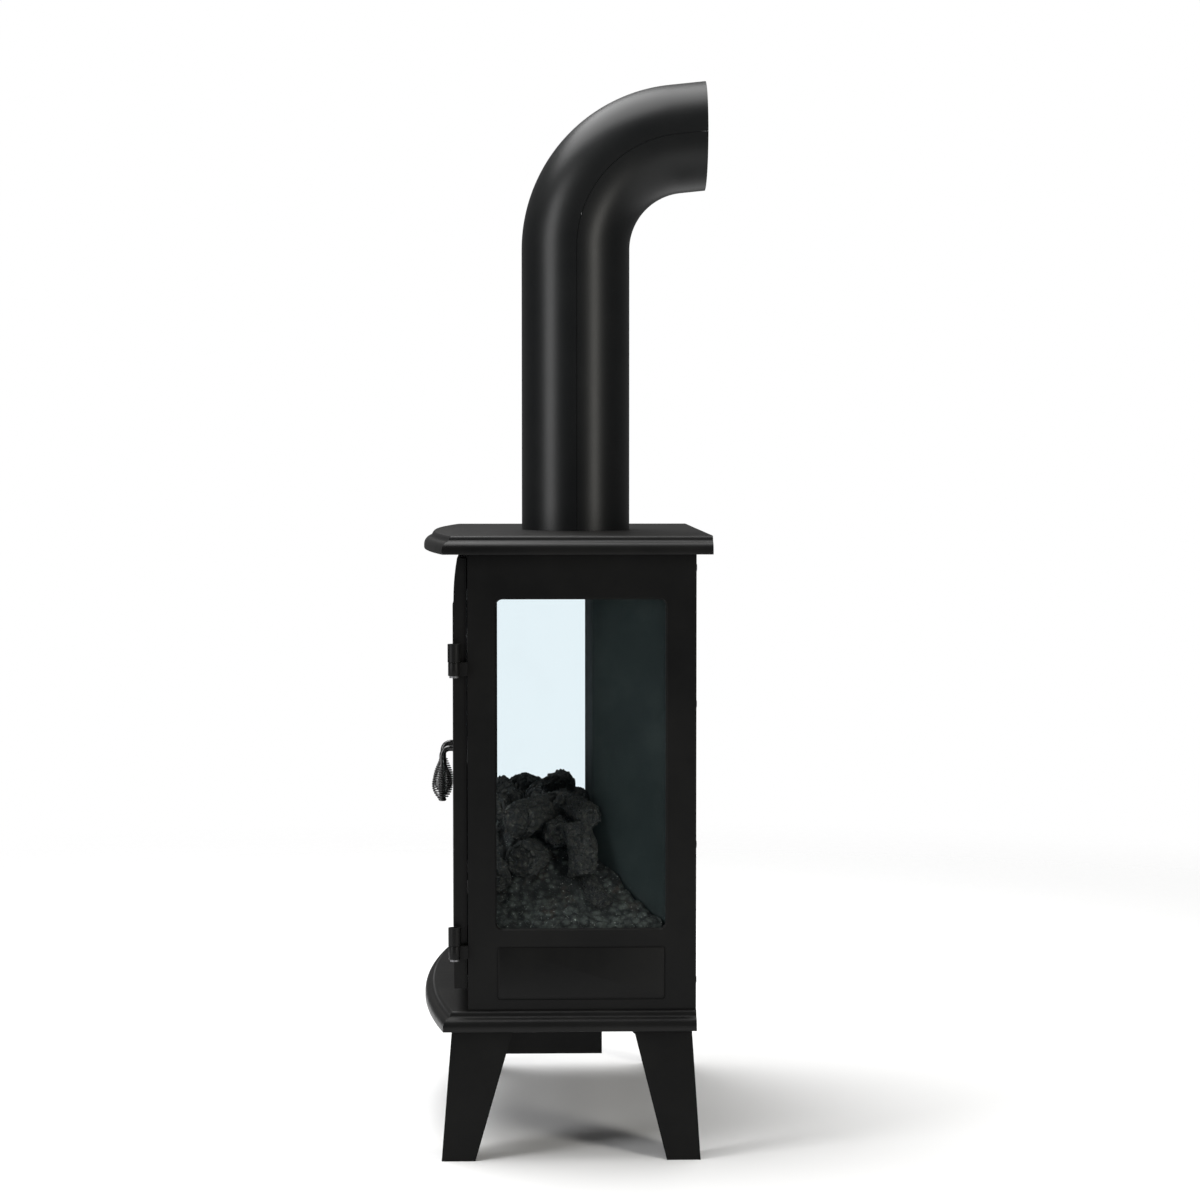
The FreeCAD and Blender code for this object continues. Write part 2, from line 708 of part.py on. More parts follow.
def door_knuckles(label, side):
    """Upper knuckle of each hinge, domed, on a short arm from the door's edge."""
    body = new_body(label)
    axis = f"{side} * {HINGE_X}"
    arm = mirrored(side, DOOR_OUTER, HINGE_X)
    for level in ("hinge_high", "hinge_low"):
        low, high = f"{level} + 0.3", f"{level} + knuckle_height"
        pad(body, "XY", low, high, circles=[(axis, "hinge_line", "knuckle_radius")])
        pad(body, "XY", low, high, [box(*arm, "hinge_line", "hinge_line + knuckle_radius")])
    for level in ("hinge_high", "hinge_low"):
        bore = (axis, "hinge_line", "pin_radius + turn_fit")
        cut(body, "XY", level, f"{level} + knuckle_height - 4", circles=[bore])


def hinge_lugs():
    """Lower knuckle of each hinge, on an arm from the front edge of the side panel."""
    body = new_body("hinge_lugs")
    for level in ("hinge_high", "hinge_low"):
        low = f"{level} - lug_height"
        for side in SIDES.values():
            arm = mirrored(side, f"{DOOR_OUTER} + 1", f"{HINGE_X} + 1")
            pad(body, "XY", low, level, circles=[(f"{side} * {HINGE_X}", "hinge_line", "lug_radius")])
            pad(body, "XY", low, level, [box(*arm, "hinge_line + 1", "casing_front")])
    bores = [(f"{side} * {HINGE_X}", "hinge_line", "pin_radius") for side in SIDES.values()]
    for level in ("hinge_high", "hinge_low"):
        cut(body, "XY", f"{level} - lug_height", level, circles=bores)


def hinge_pins():
    body = new_body("hinge_pins")
    axes = [f"{side} * {HINGE_X}" for side in SIDES.values()]
    for level in ("hinge_high", "hinge_low"):
        pins = [(x, "hinge_line", "pin_radius") for x in axes]
        heads = [(x, "hinge_line", "pin_radius + 1.5") for x in axes]
        foot = f"{level} - lug_height"
        pad(body, "XY", foot, f"{level} + knuckle_height - 5", circles=pins)
        pad(body, "XY", f"{foot} - 2", foot, circles=heads)


def magnet_catches():
    """Two magnets under the top plate's lip, just above the doors' top edges."""
    body = new_body("magnet_catches")
    blocks = [box(*mirrored(side, "12", "26"), "door_back - 8", "door_back - 1") for side in SIDES.values()]
    pad(body, "XY", "door_high + 1", "stove_height - top_thick", blocks)


# ---------------------------------------------------------------- handles


def handle_rod(label, side):
    """Bent rod: through the door along Y, then down into the grip."""
    body = new_body(label)
    path = new_sketch(body, "YZ", f"{side} * handle_offset")
    add_outline(path, [
        ("door_back + 5", "handle_height"),
        (f"{HANDLE_Y} + rod_bend", "handle_height", "rod_bend", 1),
        (HANDLE_Y, "handle_height - rod_bend"),
        (HANDLE_Y, "grip_bottom + 3"),
    ], closed=False)
    profile = new_sketch(body, "XZ", "door_back + 5")
    add_circle(profile, f"{side} * handle_offset", "handle_height", "rod_radius")
    sweep = body.newObject("PartDesign::AdditivePipe", "Sweep")
    sweep.Profile = profile
    sweep.Spine = (path, [])
    DOCUMENT.recompute()


def handle_grip(label, side):
    """Spring grip, as the bulb that its turns fill, closed at the bottom."""
    body = new_body(label)
    outline = [
        ("0", "grip_bottom"),
        ("4.5", "grip_bottom", "grip_waist - grip_bottom + 4", 1),
        ("grip_radius", "grip_waist", "55", 1),
        ("4.6", "grip_top"),
        ("rod_radius", "grip_top"),
        ("rod_radius", "grip_bottom + 3"),
        ("0", "grip_bottom + 3"),
    ]
    turn(body, "Revolution", "YZ", outline, level=f"{side} * handle_offset", shift=HANDLE_Y)


def latch_cam(label, side):
    """Boss and short tongue on the rod's end behind the door, inside the stile's width."""
    body = new_body(label)
    low, high = "door_back + 0.5", "door_back + 3.5"
    axis = f"{side} * handle_offset"
    pad(body, "XZ", low, high, circles=[(axis, "handle_height", "rod_radius + 4")])
    tongue = box(f"{axis} - 4", f"{axis} + 4", "handle_height - 15", "handle_height")
    pad(body, "XZ", low, high, [tongue])
    cut(body, "XZ", low, high, circles=[(axis, "handle_height", "rod_radius")])


# ---------------------------------------------------------------- fuel bed


def ember_bed():
    """Moulded mound of embers that fills the firebox out to the glass."""
    body = new_body("ember_bed")
    back = "screen_line - 2"
    edge = f"{INSIDE} - 2"
    front = "casing_front + 12"
    plan = [
        (f"-1 * ({edge})", front),
        (edge, front),
        (edge, "reveal_back - 6"),
        ("screen_half", back),
        ("-1 * screen_half", back),
        (f"-1 * ({edge})", "reveal_back - 6"),
    ]
    skirt = f"{FLOOR_TOP} + 24"
    pad(body, "XY", FLOOR_TOP, skirt, [plan])
    foot = box("-1 * (screen_half - 4)", "screen_half - 4", front, back)
    crest = box("-0.85 * screen_half", "0.85 * screen_half", "casing_front + 34", "screen_line - 6")
    sections = []
    for level, corners in ((skirt, foot), (f"{FLOOR_TOP} + bed_height", crest)):
        sketch = new_sketch(body, "XY", level)
        add_outline(sketch, corners)
        sections.append(sketch)
    loft = body.newObject("PartDesign::AdditiveLoft", "Loft")
    loft.Profile = sections[0]
    loft.Sections = sections[1:]
    loft.Ruled = True
    DOCUMENT.recompute()


def log(label, radius, half_length, x, y, z, heading, pitch):
    """A log lying in the ember bed: a round billet with rounded ends, turned about its middle."""
    billet = DOCUMENT.addObject("Part::Cylinder", "Billet_" + label)
    billet.setExpression("Radius", bound(radius))
    billet.setExpression("Height", bound(f"2 * {half_length}"))
    billet.Placement.Base = VECTOR(0, 0, -value(half_length))
    billet.setExpression(".Placement.Base.z", bound(f"-1 * {half_length}"))
    DOCUMENT.recompute()
    rounded = DOCUMENT.addObject("Part::Fillet", "Log_" + label)
    rounded.Base = billet
    ends = [number for number, edge in enumerate(billet.Shape.Edges, start=1) if len(edge.Vertexes) == 1]
    rounded.Edges = [(number, 5.0, 5.0) for number in ends]
    rounded.Label = label
    lie_down = FreeCAD.Rotation(VECTOR(0, 1, 0), 90 - pitch)
    rounded.Placement.Rotation = FreeCAD.Rotation(VECTOR(0, 0, 1), heading).multiply(lie_down)
    for name, text in (("x", x), ("y", y), ("z", z)):
        rounded.setExpression(f".Placement.Base.{name}", bound(text))
    DOCUMENT.recompute()
    PARTS.append(rounded)


# ---------------------------------------------------------------- flame effect


def flame_spindle():
    """Turning rod with four rows of bright vanes that throw the flicker onto the screen."""
    body = new_body("flame_spindle")
    half = "spindle_half"
    pad(body, "YZ", f"-1 * ({half} + 8)", f"{half} + 8", circles=[("spindle_line", "spindle_level", "3")])
    vanes = [
        box("spindle_line - 13", "spindle_line + 13", "spindle_level - 0.6", "spindle_level + 0.6"),
        box("spindle_line - 0.6", "spindle_line + 0.6", "spindle_level - 13", "spindle_level + 13"),
    ]
    for vane in vanes:
        for row in range(-3, 3):
            start = f"({row} * {half} / 3 + 3)"
            pad(body, "YZ", start, f"{start} + {half} / 3 - 6", [vane])


def spindle_brackets():
    """Upright bearing plates that carry the spindle's ends."""
    body = new_body("spindle_brackets")
    plate = box("spindle_line - 14", "spindle_line + 14", FLOOR_TOP, "spindle_level + 12")
    for side in SIDES.values():
        span = mirrored(side, "spindle_half + 4", "spindle_half + 7")
        pad(body, "YZ", *span, [plate])
    for side in SIDES.values():
        span = mirrored(side, "spindle_half + 4", "spindle_half + 7")
        cut(body, "YZ", *span, circles=[("spindle_line", "spindle_level", "3 + turn_fit")])


def spindle_motor():
    body = new_body("spindle_motor")
    can = ("spindle_line", "spindle_level", "17")
    pad(body, "YZ", "spindle_half + 8.5", "spindle_half + 26", circles=[can])
    foot = box("spindle_line - 12", "spindle_line + 12", FLOOR_TOP, "spindle_level")
    pad(body, "YZ", "spindle_half + 12", "spindle_half + 22", [foot])


def back_reflector():
    body = new_body("back_reflector")
    sheet = box(f"-1 * ({PANEL_INNER} - 20)", f"{PANEL_INNER} - 20", FLOOR_TOP, "ceiling_level")
    pad(body, "XZ", "reveal_back + 8", "reveal_back + 8 + sheet_wall", [sheet])


def led_strip():
    """Circuit strip with a row of lamps, on the firebox floor behind the screen."""
    body = new_body("led_strip")
    strip = box("-110", "110", "screen_line + 10", "screen_line + 20")
    pad(body, "XY", FLOOR_TOP, f"{FLOOR_TOP} + 2", [strip])
    lamp_depth = ("screen_line + 12.5", "screen_line + 17.5")
    lamps = [box(f"{x} - 2.5", f"{x} + 2.5", *lamp_depth) for x in range(-100, 101, 25)]
    pad(body, "XY", f"{FLOOR_TOP} + 2", f"{FLOOR_TOP} + 4", lamps)


# ---------------------------------------------------------------- fan heater


def heater_box():
    """Tray under the base: open above to the intake, in front to the grille; a bearing cheek is inside."""
    body = new_body("heater_box")
    top = f"({BASE_TOP} - plate_skin)"
    wall = "1.5"
    pad(body, "XY", HEATER_LOW, top, [box("-1 * heater_half", "heater_half", "heater_front", "heater_back")])
    inside = box(
        f"-1 * (heater_half - {wall})", f"heater_half - {wall}",
        f"heater_front + {wall}", f"heater_back - {wall}",
    )
    cut(body, "XY", f"{HEATER_LOW} + {wall}", top, [inside])
    mouth = box("-1 * (heater_half - 12)", "heater_half - 12", f"{HEATER_LOW} + 6", "leg_height - 5")
    cut(body, "XZ", "heater_front", f"heater_front + {wall}", [mouth])
    cheek = box("fan_line - 14", "fan_line + 14", f"{HEATER_LOW} + {wall}", f"{FAN_LEVEL} + 12")
    pad(body, "YZ", "-1 * (heater_half - 12)", "-1 * (heater_half - 15)", [cheek])
    bore = ("fan_line", FAN_LEVEL, "fan_shaft + turn_fit")
    cut(body, "YZ", "-1 * (heater_half - 12)", "-1 * (heater_half - 15)", circles=[bore])


def heater_grille():
    body = new_body("heater_grille")
    low, high = f"{HEATER_LOW} + 3", "leg_height - 2"
    plate = box("-1 * (heater_half - 6)", "heater_half - 6", low, high)
    pad(body, "XZ", "heater_front - 1.5", "heater_front", [plate])
    slot = round_box("(19 - heater_half)", "(24 - heater_half)", f"({low} + 5)", f"({high} - 5)", "2.2")
    first_slot = cut(body, "XZ", "heater_front - 1.5", "heater_front", [slot])
    repeat(body, first_slot, "(2 * heater_half - 43) / 25", 26)


def heating_element():
    """Two end plates with five resistance wires stretched between them."""
    body = new_body("heating_element")
    middle = f"({HEATER_LOW} + 21)"
    line = "(heater_front + 40)"
    wires = [(line, f"{middle} + {step} * 6", "1.2") for step in range(-2, 3)]
    pad(body, "YZ", "-1 * (heater_half - 22)", "heater_half - 22", circles=wires)
    for side in SIDES.values():
        span = mirrored(side, "heater_half - 22", "heater_half - 20")
        plate = box(f"{line} - 8", f"{line} + 8", f"{HEATER_LOW} + 1.5", f"{middle} + 17")
        pad(body, "YZ", *span, [plate])


def fan_wheel():
    """Cross-flow wheel: shaft, end discs and a ring of blades."""
    body = new_body("fan_wheel")
    left, right = "-1 * (heater_half - 18)", "heater_half - 52"
    shaft = ("fan_line", FAN_LEVEL, "fan_shaft")
    pad(body, "YZ", f"{left} - 4", f"{right} + 6", circles=[shaft])
    disc = ("fan_line", FAN_LEVEL, "fan_radius")
    pad(body, "YZ", left, f"{left} + 1.5", circles=[disc])
    pad(body, "YZ", f"{right} - 1.5", right, circles=[disc])
    blades = []
    for number in range(12):
        angle = math.radians(number * 30)
        along, lift = math.cos(angle), math.sin(angle)
        blades.append([
            (
                f"fan_line + ({along * far - lift * rise:.4f}) * fan_radius",
                f"{FAN_LEVEL} + ({lift * far + along * rise:.4f}) * fan_radius",
            )
            for far, rise in ((0.72, 0), (0.97, 0), (0.97, 0.1), (0.72, 0.1))
        ])
    pad(body, "YZ", left, right, blades)


def fan_motor():
    body = new_body("fan_motor")
    start = "heater_half - 50"
    pad(body, "YZ", start, "heater_half - 22.5", circles=[("fan_line", FAN_LEVEL, "16")])
    foot = box("fan_line - 12", "fan_line + 12", f"{HEATER_LOW} + 1.5", FAN_LEVEL)
    pad(body, "YZ", f"{start} + 5", "heater_half - 30", [foot])
    cut(body, "YZ", start, f"{start} + 10", circles=[("fan_line", FAN_LEVEL, "fan_shaft + turn_fit")])


# ---------------------------------------------------------------- controls


ROCKERS = {"rocker_power": "-55", "rocker_heat": "-15"}
KNOB_X = "45"


def control_panel():
    """Recessed panel with two rocker openings, their cheeks behind, the dial's bore and a foot."""
    body = new_body("control_panel")
    back = "panel_line + sheet_wall"
    face = box("-1 * panel_half", "panel_half", BASE_TOP, "panel_level + 30")
    pad(body, "XZ", "panel_line", back, [face])
    foot = box("-1 * panel_half", "panel_half", back, f"{back} + 16")
    pad(body, "XY", BASE_TOP, f"{BASE_TOP} + sheet_wall", [foot])
    window_heights = ("panel_level - 10", "panel_level + 10")
    windows = [box(f"{x} - 6.6", f"{x} + 6.6", *window_heights) for x in ROCKERS.values()]
    cut(body, "XZ", "panel_line", back, windows)
    cut(body, "XZ", "panel_line", back, circles=[(KNOB_X, "panel_level", "3 + turn_fit")])
    cheek = box(back, f"{back} + 9", "panel_level - 11", "panel_level + 11")
    for x in ROCKERS.values():
        for side in (-1, 1):
            low, high = (f"{x} + 7", f"{x} + 9") if side > 0 else (f"{x} - 9", f"{x} - 7")
            pad(body, "YZ", low, high, [cheek])
            cut(body, "YZ", low, high, circles=[(f"{back} + rocker_pivot", "panel_level", "1.2 + turn_fit")])


def rocker(label, x):
    """Rocker tilted to its off position, on two trunnions."""
    body = new_body(label)
    section = [("-9.5", "-8.5"), ("3", "-8"), ("3", "8"), ("-9.5", "8.5"), ("-8", "0")]
    pad(body, "YZ", "-6", "6", [section])
    pad(body, "YZ", "-8.6", "8.6", circles=[("0", "0", "1.2")])
    body.Placement.Rotation = FreeCAD.Rotation(VECTOR(1, 0, 0), 6)
    body.setExpression(".Placement.Base.x", bound(x))
    body.setExpression(".Placement.Base.y", bound("panel_line + sheet_wall + rocker_pivot"))
    body.setExpression(".Placement.Base.z", bound("panel_level"))


def dimmer_knob():
    """Skirted dial with a pointer rib, on a shaft through the control panel."""
    body = new_body("dimmer_knob")
    skirt = (KNOB_X, "panel_level", "knob_radius + 2")
    pad(body, "XZ", "panel_line - 4", "panel_line - 0.5", circles=[skirt])
    pad(body, "XZ", "panel_line - 14", "panel_line - 4", circles=[(KNOB_X, "panel_level", "knob_radius")])
    front = value("panel_line - 14")
    soften(body, "Fillet", "1", (-500, front - 0.1, 0), (500, front + 0.1, 1000))
    pointer = box(f"{KNOB_X} - 1", f"{KNOB_X} + 1", "panel_level + 2", "panel_level + knob_radius - 2")
    pad(body, "XZ", "panel_line - 14.8", "panel_line - 13.5", [pointer])
    pad(body, "XZ", "panel_line - 0.5", "panel_line + 14", circles=[(KNOB_X, "panel_level", "3")])


def control_board():
    body = new_body("control_board")
    line = "panel_line + 22"
    pad(body, "XZ", line, f"{line} + 1.6", [box("-70", "80", BASE_TOP, "panel_level + 22")])
    chips = [
        box("-60", "-40", f"{BASE_TOP} + 14", f"{BASE_TOP} + 29"),
        box("-20", "5", f"{BASE_TOP} + 19", f"{BASE_TOP} + 49"),
        box("30", "60", f"{BASE_TOP} + 12", f"{BASE_TOP} + 32"),
    ]
    pad(body, "XZ", f"{line} + 1.6", f"{line} + 12", chips)


def cable_gland():
    """Flanged bush through the rear panel; its bore takes the supply cord."""
    body = new_body("cable_gland")
    back = "casing_back - 1"
    centre = ("gland_offset", "gland_level")
    pad(body, "XZ", f"{back} - sheet_wall - 6", back, circles=[(*centre, "gland_bore + 4")])
    pad(body, "XZ", back, f"{back} + 8", circles=[(*centre, "gland_bore + 6")])
    cut(body, "XZ", f"{back} - sheet_wall - 6", f"{back} + 8", circles=[(*centre, "gland_bore")])


# ---------------------------------------------------------------- assembly


def build():
    fill_sheet()
    base_plate()
    top_plate()
    rear_panel()
    casing_screws()
    front_frame()
    firebox_sheet("firebox_floor", "floor_level")
    firebox_sheet("firebox_ceiling", "ceiling_level")
    flame_screen()
    back_reflector()
    side_glass_clips()
    for name, side in SIDES.items():
        side_panel(f"side_panel_{name}", side)
        reveal(f"reveal_{name}", side)
        side_glass(f"side_glass_{name}", side)
        leg(f"leg_front_{name}", side, 1, "casing_front - 16", "60", "casing_front - 26")
        leg(f"leg_rear_{name}", side, -1, "casing_back - 4", "57", "casing_back + 4")
        door_frame(f"door_frame_{name}", side)
        door_glass(f"door_glass_{name}", side)
        door_glass_clips(f"door_glass_clips_{name}", side)
        door_knuckles(f"door_knuckles_{name}", side)
        handle_rod(f"handle_rod_{name}", side)
        handle_grip(f"handle_grip_{name}", side)
        latch_cam(f"latch_cam_{name}", side)
    leg_bolts()
    hinge_lugs()
    hinge_pins()
    magnet_catches()
    pipe_spigot()
    pipe_half("pipe_front_half", -1)
    pipe_half("pipe_rear_half", 1)
    ember_bed()
    log("log_rear", "23", "105", "5", "screen_line - 30", f"{FLOOR_TOP} + 105", 3, 1)
    log("log_front", "22", "85", "-30", "casing_front + 42", f"{FLOOR_TOP} + 98", -8, -2)
    log("log_cross", "20", "48", "95", "screen_line - 62", f"{FLOOR_TOP} + 90", 62, -10)
    flame_spindle()
    spindle_brackets()
    spindle_motor()
    led_strip()
    heater_box()
    heater_grille()
    heating_element()
    fan_wheel()
    fan_motor()
    control_panel()
    for name, x in ROCKERS.items():
        rocker(name, x)
    dimmer_knob()
    control_board()
    cable_gland()
    DOCUMENT.recompute()


def check_objects():
    for item in DOCUMENT.Objects:
        if "Invalid" in item.State or "Error" in item.State:
            raise ValueError(f"{item.Label} did not compute: {item.State}")
    for part in PARTS:
        if part.Shape.isNull() or not part.Shape.isValid() or not part.Shape.Solids:
            raise ValueError(f"{part.Label} has no valid solid")


def export_parts():
    os.makedirs("parts", exist_ok=True)
    for part in PARTS:
        part.Shape.exportStep(f"parts/{part.Label}.step")
    print(f"{len(PARTS)} parts written")


build()
check_objects()
export_parts()
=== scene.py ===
"""Looks of the log-effect stove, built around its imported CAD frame."""

import json
import logging
import math
from dataclasses import dataclass, field
from enum import Enum
from typing import Any, Optional, Sequence, Union

import bpy
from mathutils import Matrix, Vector, noise

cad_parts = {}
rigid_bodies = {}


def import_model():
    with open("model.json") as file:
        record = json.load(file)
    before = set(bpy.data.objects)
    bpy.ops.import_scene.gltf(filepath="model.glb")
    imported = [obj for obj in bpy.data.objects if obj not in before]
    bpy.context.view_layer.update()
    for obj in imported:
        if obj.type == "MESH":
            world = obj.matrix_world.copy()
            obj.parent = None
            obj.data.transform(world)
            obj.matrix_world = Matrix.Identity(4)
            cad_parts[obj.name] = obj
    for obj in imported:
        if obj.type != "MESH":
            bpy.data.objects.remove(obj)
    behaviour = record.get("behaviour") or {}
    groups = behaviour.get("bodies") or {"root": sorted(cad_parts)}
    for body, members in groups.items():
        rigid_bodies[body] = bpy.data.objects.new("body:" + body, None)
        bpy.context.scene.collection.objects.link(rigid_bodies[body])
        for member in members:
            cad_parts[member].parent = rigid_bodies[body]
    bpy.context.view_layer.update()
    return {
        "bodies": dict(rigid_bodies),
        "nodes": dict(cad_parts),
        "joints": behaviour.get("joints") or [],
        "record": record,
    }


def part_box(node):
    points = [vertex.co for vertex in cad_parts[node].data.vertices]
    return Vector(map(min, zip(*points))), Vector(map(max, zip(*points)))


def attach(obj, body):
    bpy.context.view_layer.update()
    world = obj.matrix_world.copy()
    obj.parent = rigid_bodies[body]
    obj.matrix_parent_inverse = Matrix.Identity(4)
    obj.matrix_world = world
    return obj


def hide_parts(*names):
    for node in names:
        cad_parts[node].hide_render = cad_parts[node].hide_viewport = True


LOG = logging.getLogger("stove")
MM = 0.001
SIDES = {"right": 1, "left": -1}

Number = Union[int, float]
Colour = tuple[float, float, float]
Point = tuple[float, float, float]
Pair = tuple[float, float]
Ring = list[Point]


# ---------------------------------------------------------------- shader maths


class Signal:
    """A value on a node's output, with arithmetic that adds Math nodes."""

    def __init__(self, book: "NodeBook", socket: Any) -> None:
        """Wraps a socket.

        Args:
            book: the material's node book, which adds the nodes.
            socket: the output socket to carry on from.
        """
        self.book = book
        self.socket = socket

    def math(self, operation: str, *others: Union["Signal", Number]) -> "Signal":
        """Adds one Math node.

        Args:
            operation: the Math node's operation.
            others: its further operands.

        Returns:
            The node's result.
        """
        inputs = dict(enumerate((self, *others)))
        return self.book.add("ShaderNodeMath", {"operation": operation}, inputs)

    def after(self, other: Number, operation: str) -> "Signal":
        """Adds one Math node that takes a plain number first and this value second."""
        return self.book.add("ShaderNodeMath", {"operation": operation}, {0: other, 1: self})

    def __add__(self, other: Union["Signal", Number]) -> "Signal":
        """Sum."""
        return self.math("ADD", other)

    def __radd__(self, other: Number) -> "Signal":
        """Sum with a number first."""
        return self.after(other, "ADD")

    def __sub__(self, other: Union["Signal", Number]) -> "Signal":
        """Difference."""
        return self.math("SUBTRACT", other)

    def __rsub__(self, other: Number) -> "Signal":
        """Difference from a number."""
        return self.after(other, "SUBTRACT")

    def __mul__(self, other: Union["Signal", Number]) -> "Signal":
        """Product."""
        return self.math("MULTIPLY", other)

    def __rmul__(self, other: Number) -> "Signal":
        """Product with a number first."""
        return self.after(other, "MULTIPLY")

    def band(self, low: float, high: float) -> "Signal":
        """Smooth step from 0 at low to 1 at high.

        Args:
            low: where the step starts.
            high: where it ends.

        Returns:
            The stepped value.
        """
        settings = {"interpolation_type": "SMOOTHSTEP"}
        inputs = {"Value": self, "From Min": low, "From Max": high}
        return self.book.add("ShaderNodeMapRange", settings, inputs)


class NodeBook:
    """The node tree of one new material."""

    def __init__(self, name: str) -> None:
        """Starts an empty material.

        Args:
            name: the material's name.
        """
        self.material = bpy.data.materials.new(name)
        self.material.use_nodes = True
        self.tree = self.material.node_tree
        self.tree.nodes.clear()
        self.output = self.tree.nodes.new("ShaderNodeOutputMaterial")

    def add(
        self,
        kind: str,
        settings: Optional[dict[str, Any]] = None,
        inputs: Optional[dict[Union[str, int], Any]] = None,
        output: Union[str, int] = 0,
    ) -> Signal:
        """Adds a node.

        Args:
            kind: the node's type.
            settings: its properties, which are set first.
            inputs: values or signals for its sockets, by name or number.
            output: the socket to return, by name or number.

        Returns:
            The chosen output.
        """
        node = self.tree.nodes.new(kind)
        for name, setting in (settings or {}).items():
            setattr(node, name, setting)
        for key, given in (inputs or {}).items():
            if isinstance(given, Signal):
                self.tree.links.new(given.socket, node.inputs[key])
            else:
                node.inputs[key].default_value = given
        return Signal(self, node.outputs[output])

    def place(self) -> Signal:
        """The point on the piece, in metres, as it lies at rest."""
        return self.add("ShaderNodeTexCoord", output="Object")

    def cloud(
        self, scale: float, detail: float = 4.0, roughness: float = 0.55, where: Optional[Signal] = None,
    ) -> Signal:
        """Fractal noise.

        Args:
            scale: features per metre.
            detail: octaves.
            roughness: how strong the finer octaves are.
            where: the coordinates, or None for the point on the piece.

        Returns:
            The noise value.
        """
        inputs = {"Vector": where or self.place(), "Scale": scale, "Detail": detail, "Roughness": roughness}
        return self.add("ShaderNodeTexNoise", None, inputs)

    def cells(self, scale: float, feature: str = "F1") -> Signal:
        """Distance within a pattern of cells, so many per metre."""
        inputs = {"Vector": self.place(), "Scale": scale}
        return self.add("ShaderNodeTexVoronoi", {"feature": feature}, inputs, "Distance")

    def blend(self, factor: Signal, first: Union[Signal, Colour], second: Union[Signal, Colour]) -> Signal:
        """Mixes two colours.

        Args:
            factor: 0 for the first, 1 for the second.
            first: a colour or signal.
            second: a colour or signal.

        Returns:
            The mixed colour.
        """
        sides = [side if isinstance(side, Signal) else (*side, 1.0) for side in (first, second)]
        return self.add("ShaderNodeMix", {"data_type": "RGBA"}, {0: factor, 6: sides[0], 7: sides[1]}, 2)

    def bump(self, height: Signal, depth: float, strength: float, under: Optional[Signal] = None) -> Signal:
        """Bump normal.

        Args:
            height: height, 0 to 1.
            depth: what 1 stands for, in metres.
            strength: share of the effect.
            under: a normal to build on.

        Returns:
            The new normal.
        """
        inputs: dict[Union[str, int], Any] = {"Height": height, "Distance": depth, "Strength": strength}
        if under is not None:
            inputs["Normal"] = under
        return self.add("ShaderNodeBump", None, inputs)

    def finish(self, inputs: dict[Union[str, int], Any]) -> bpy.types.Material:
        """Ends the material with a Principled shader.

        Args:
            inputs: the shader's sockets.

        Returns:
            The material.
        """
        return self.close(self.add("ShaderNodeBsdfPrincipled", None, inputs))

    def close(self, shader: Signal) -> bpy.types.Material:
        """Puts a shader on the material's surface and gives the material back."""
        self.tree.links.new(shader.socket, self.output.inputs["Surface"])
        return self.material


# ---------------------------------------------------------------- finishes


@dataclass(frozen=True)
class Coating:
    """Painted or powder-coated sheet: faint mottling, a fine peel, settled dust and rubbed patches."""

    name: str
    dark: Colour = (0.0024, 0.0025, 0.0026)
    light: Colour = (0.0042, 0.0042, 0.004)
    dust: Colour = (0.03, 0.0285, 0.025)
    dust_share: float = 0.25
    dust_dulls: float = 0.08
    level: Pair = (0.55, 1.0)
    roughness: float = 0.42
    spread: float = 0.14
    mottle_scale: float = 9.0
    mottle_edge: Pair = (0.35, 0.7)
    smear_scale: float = 28.0
    smear_edge: Pair = (0.3, 0.75)
    peel: float = 700.0
    peel_depth: float = 0.05 * MM
    peel_strength: float = 0.6
    coat: float = 0.0
    coat_roughness: float = 0.25
    shine: float = 0.14

    def make(self) -> bpy.types.Material:
        """Builds the coat; dust lies only on faces that look up.

        Returns:
            The material.
        """
        book = NodeBook(self.name)
        mottle = book.cloud(self.mottle_scale, 6.0, 0.6)
        grain = book.cloud(self.peel, 2.0)
        smear = book.cloud(self.smear_scale, 3.0, 0.7)
        normal = book.add("ShaderNodeNewGeometry", output="Normal")
        up = book.add("ShaderNodeSeparateXYZ", None, {0: normal}, "Z").band(*self.level)
        colour = book.blend(mottle.band(*self.mottle_edge), self.dark, self.light)
        colour = book.blend(up * smear.band(*self.smear_edge) * self.dust_share, colour, self.dust)
        wear = (mottle - 0.5) * self.spread + (smear - 0.5) * self.spread
        return book.finish({
            "Base Color": colour,
            "Roughness": self.roughness + wear + up * self.dust_dulls,
            "Normal": book.bump(grain, self.peel_depth, self.peel_strength),
            "Coat Weight": self.coat,
            "Coat Roughness": self.coat_roughness,
            "Specular IOR Level": self.shine,
        })


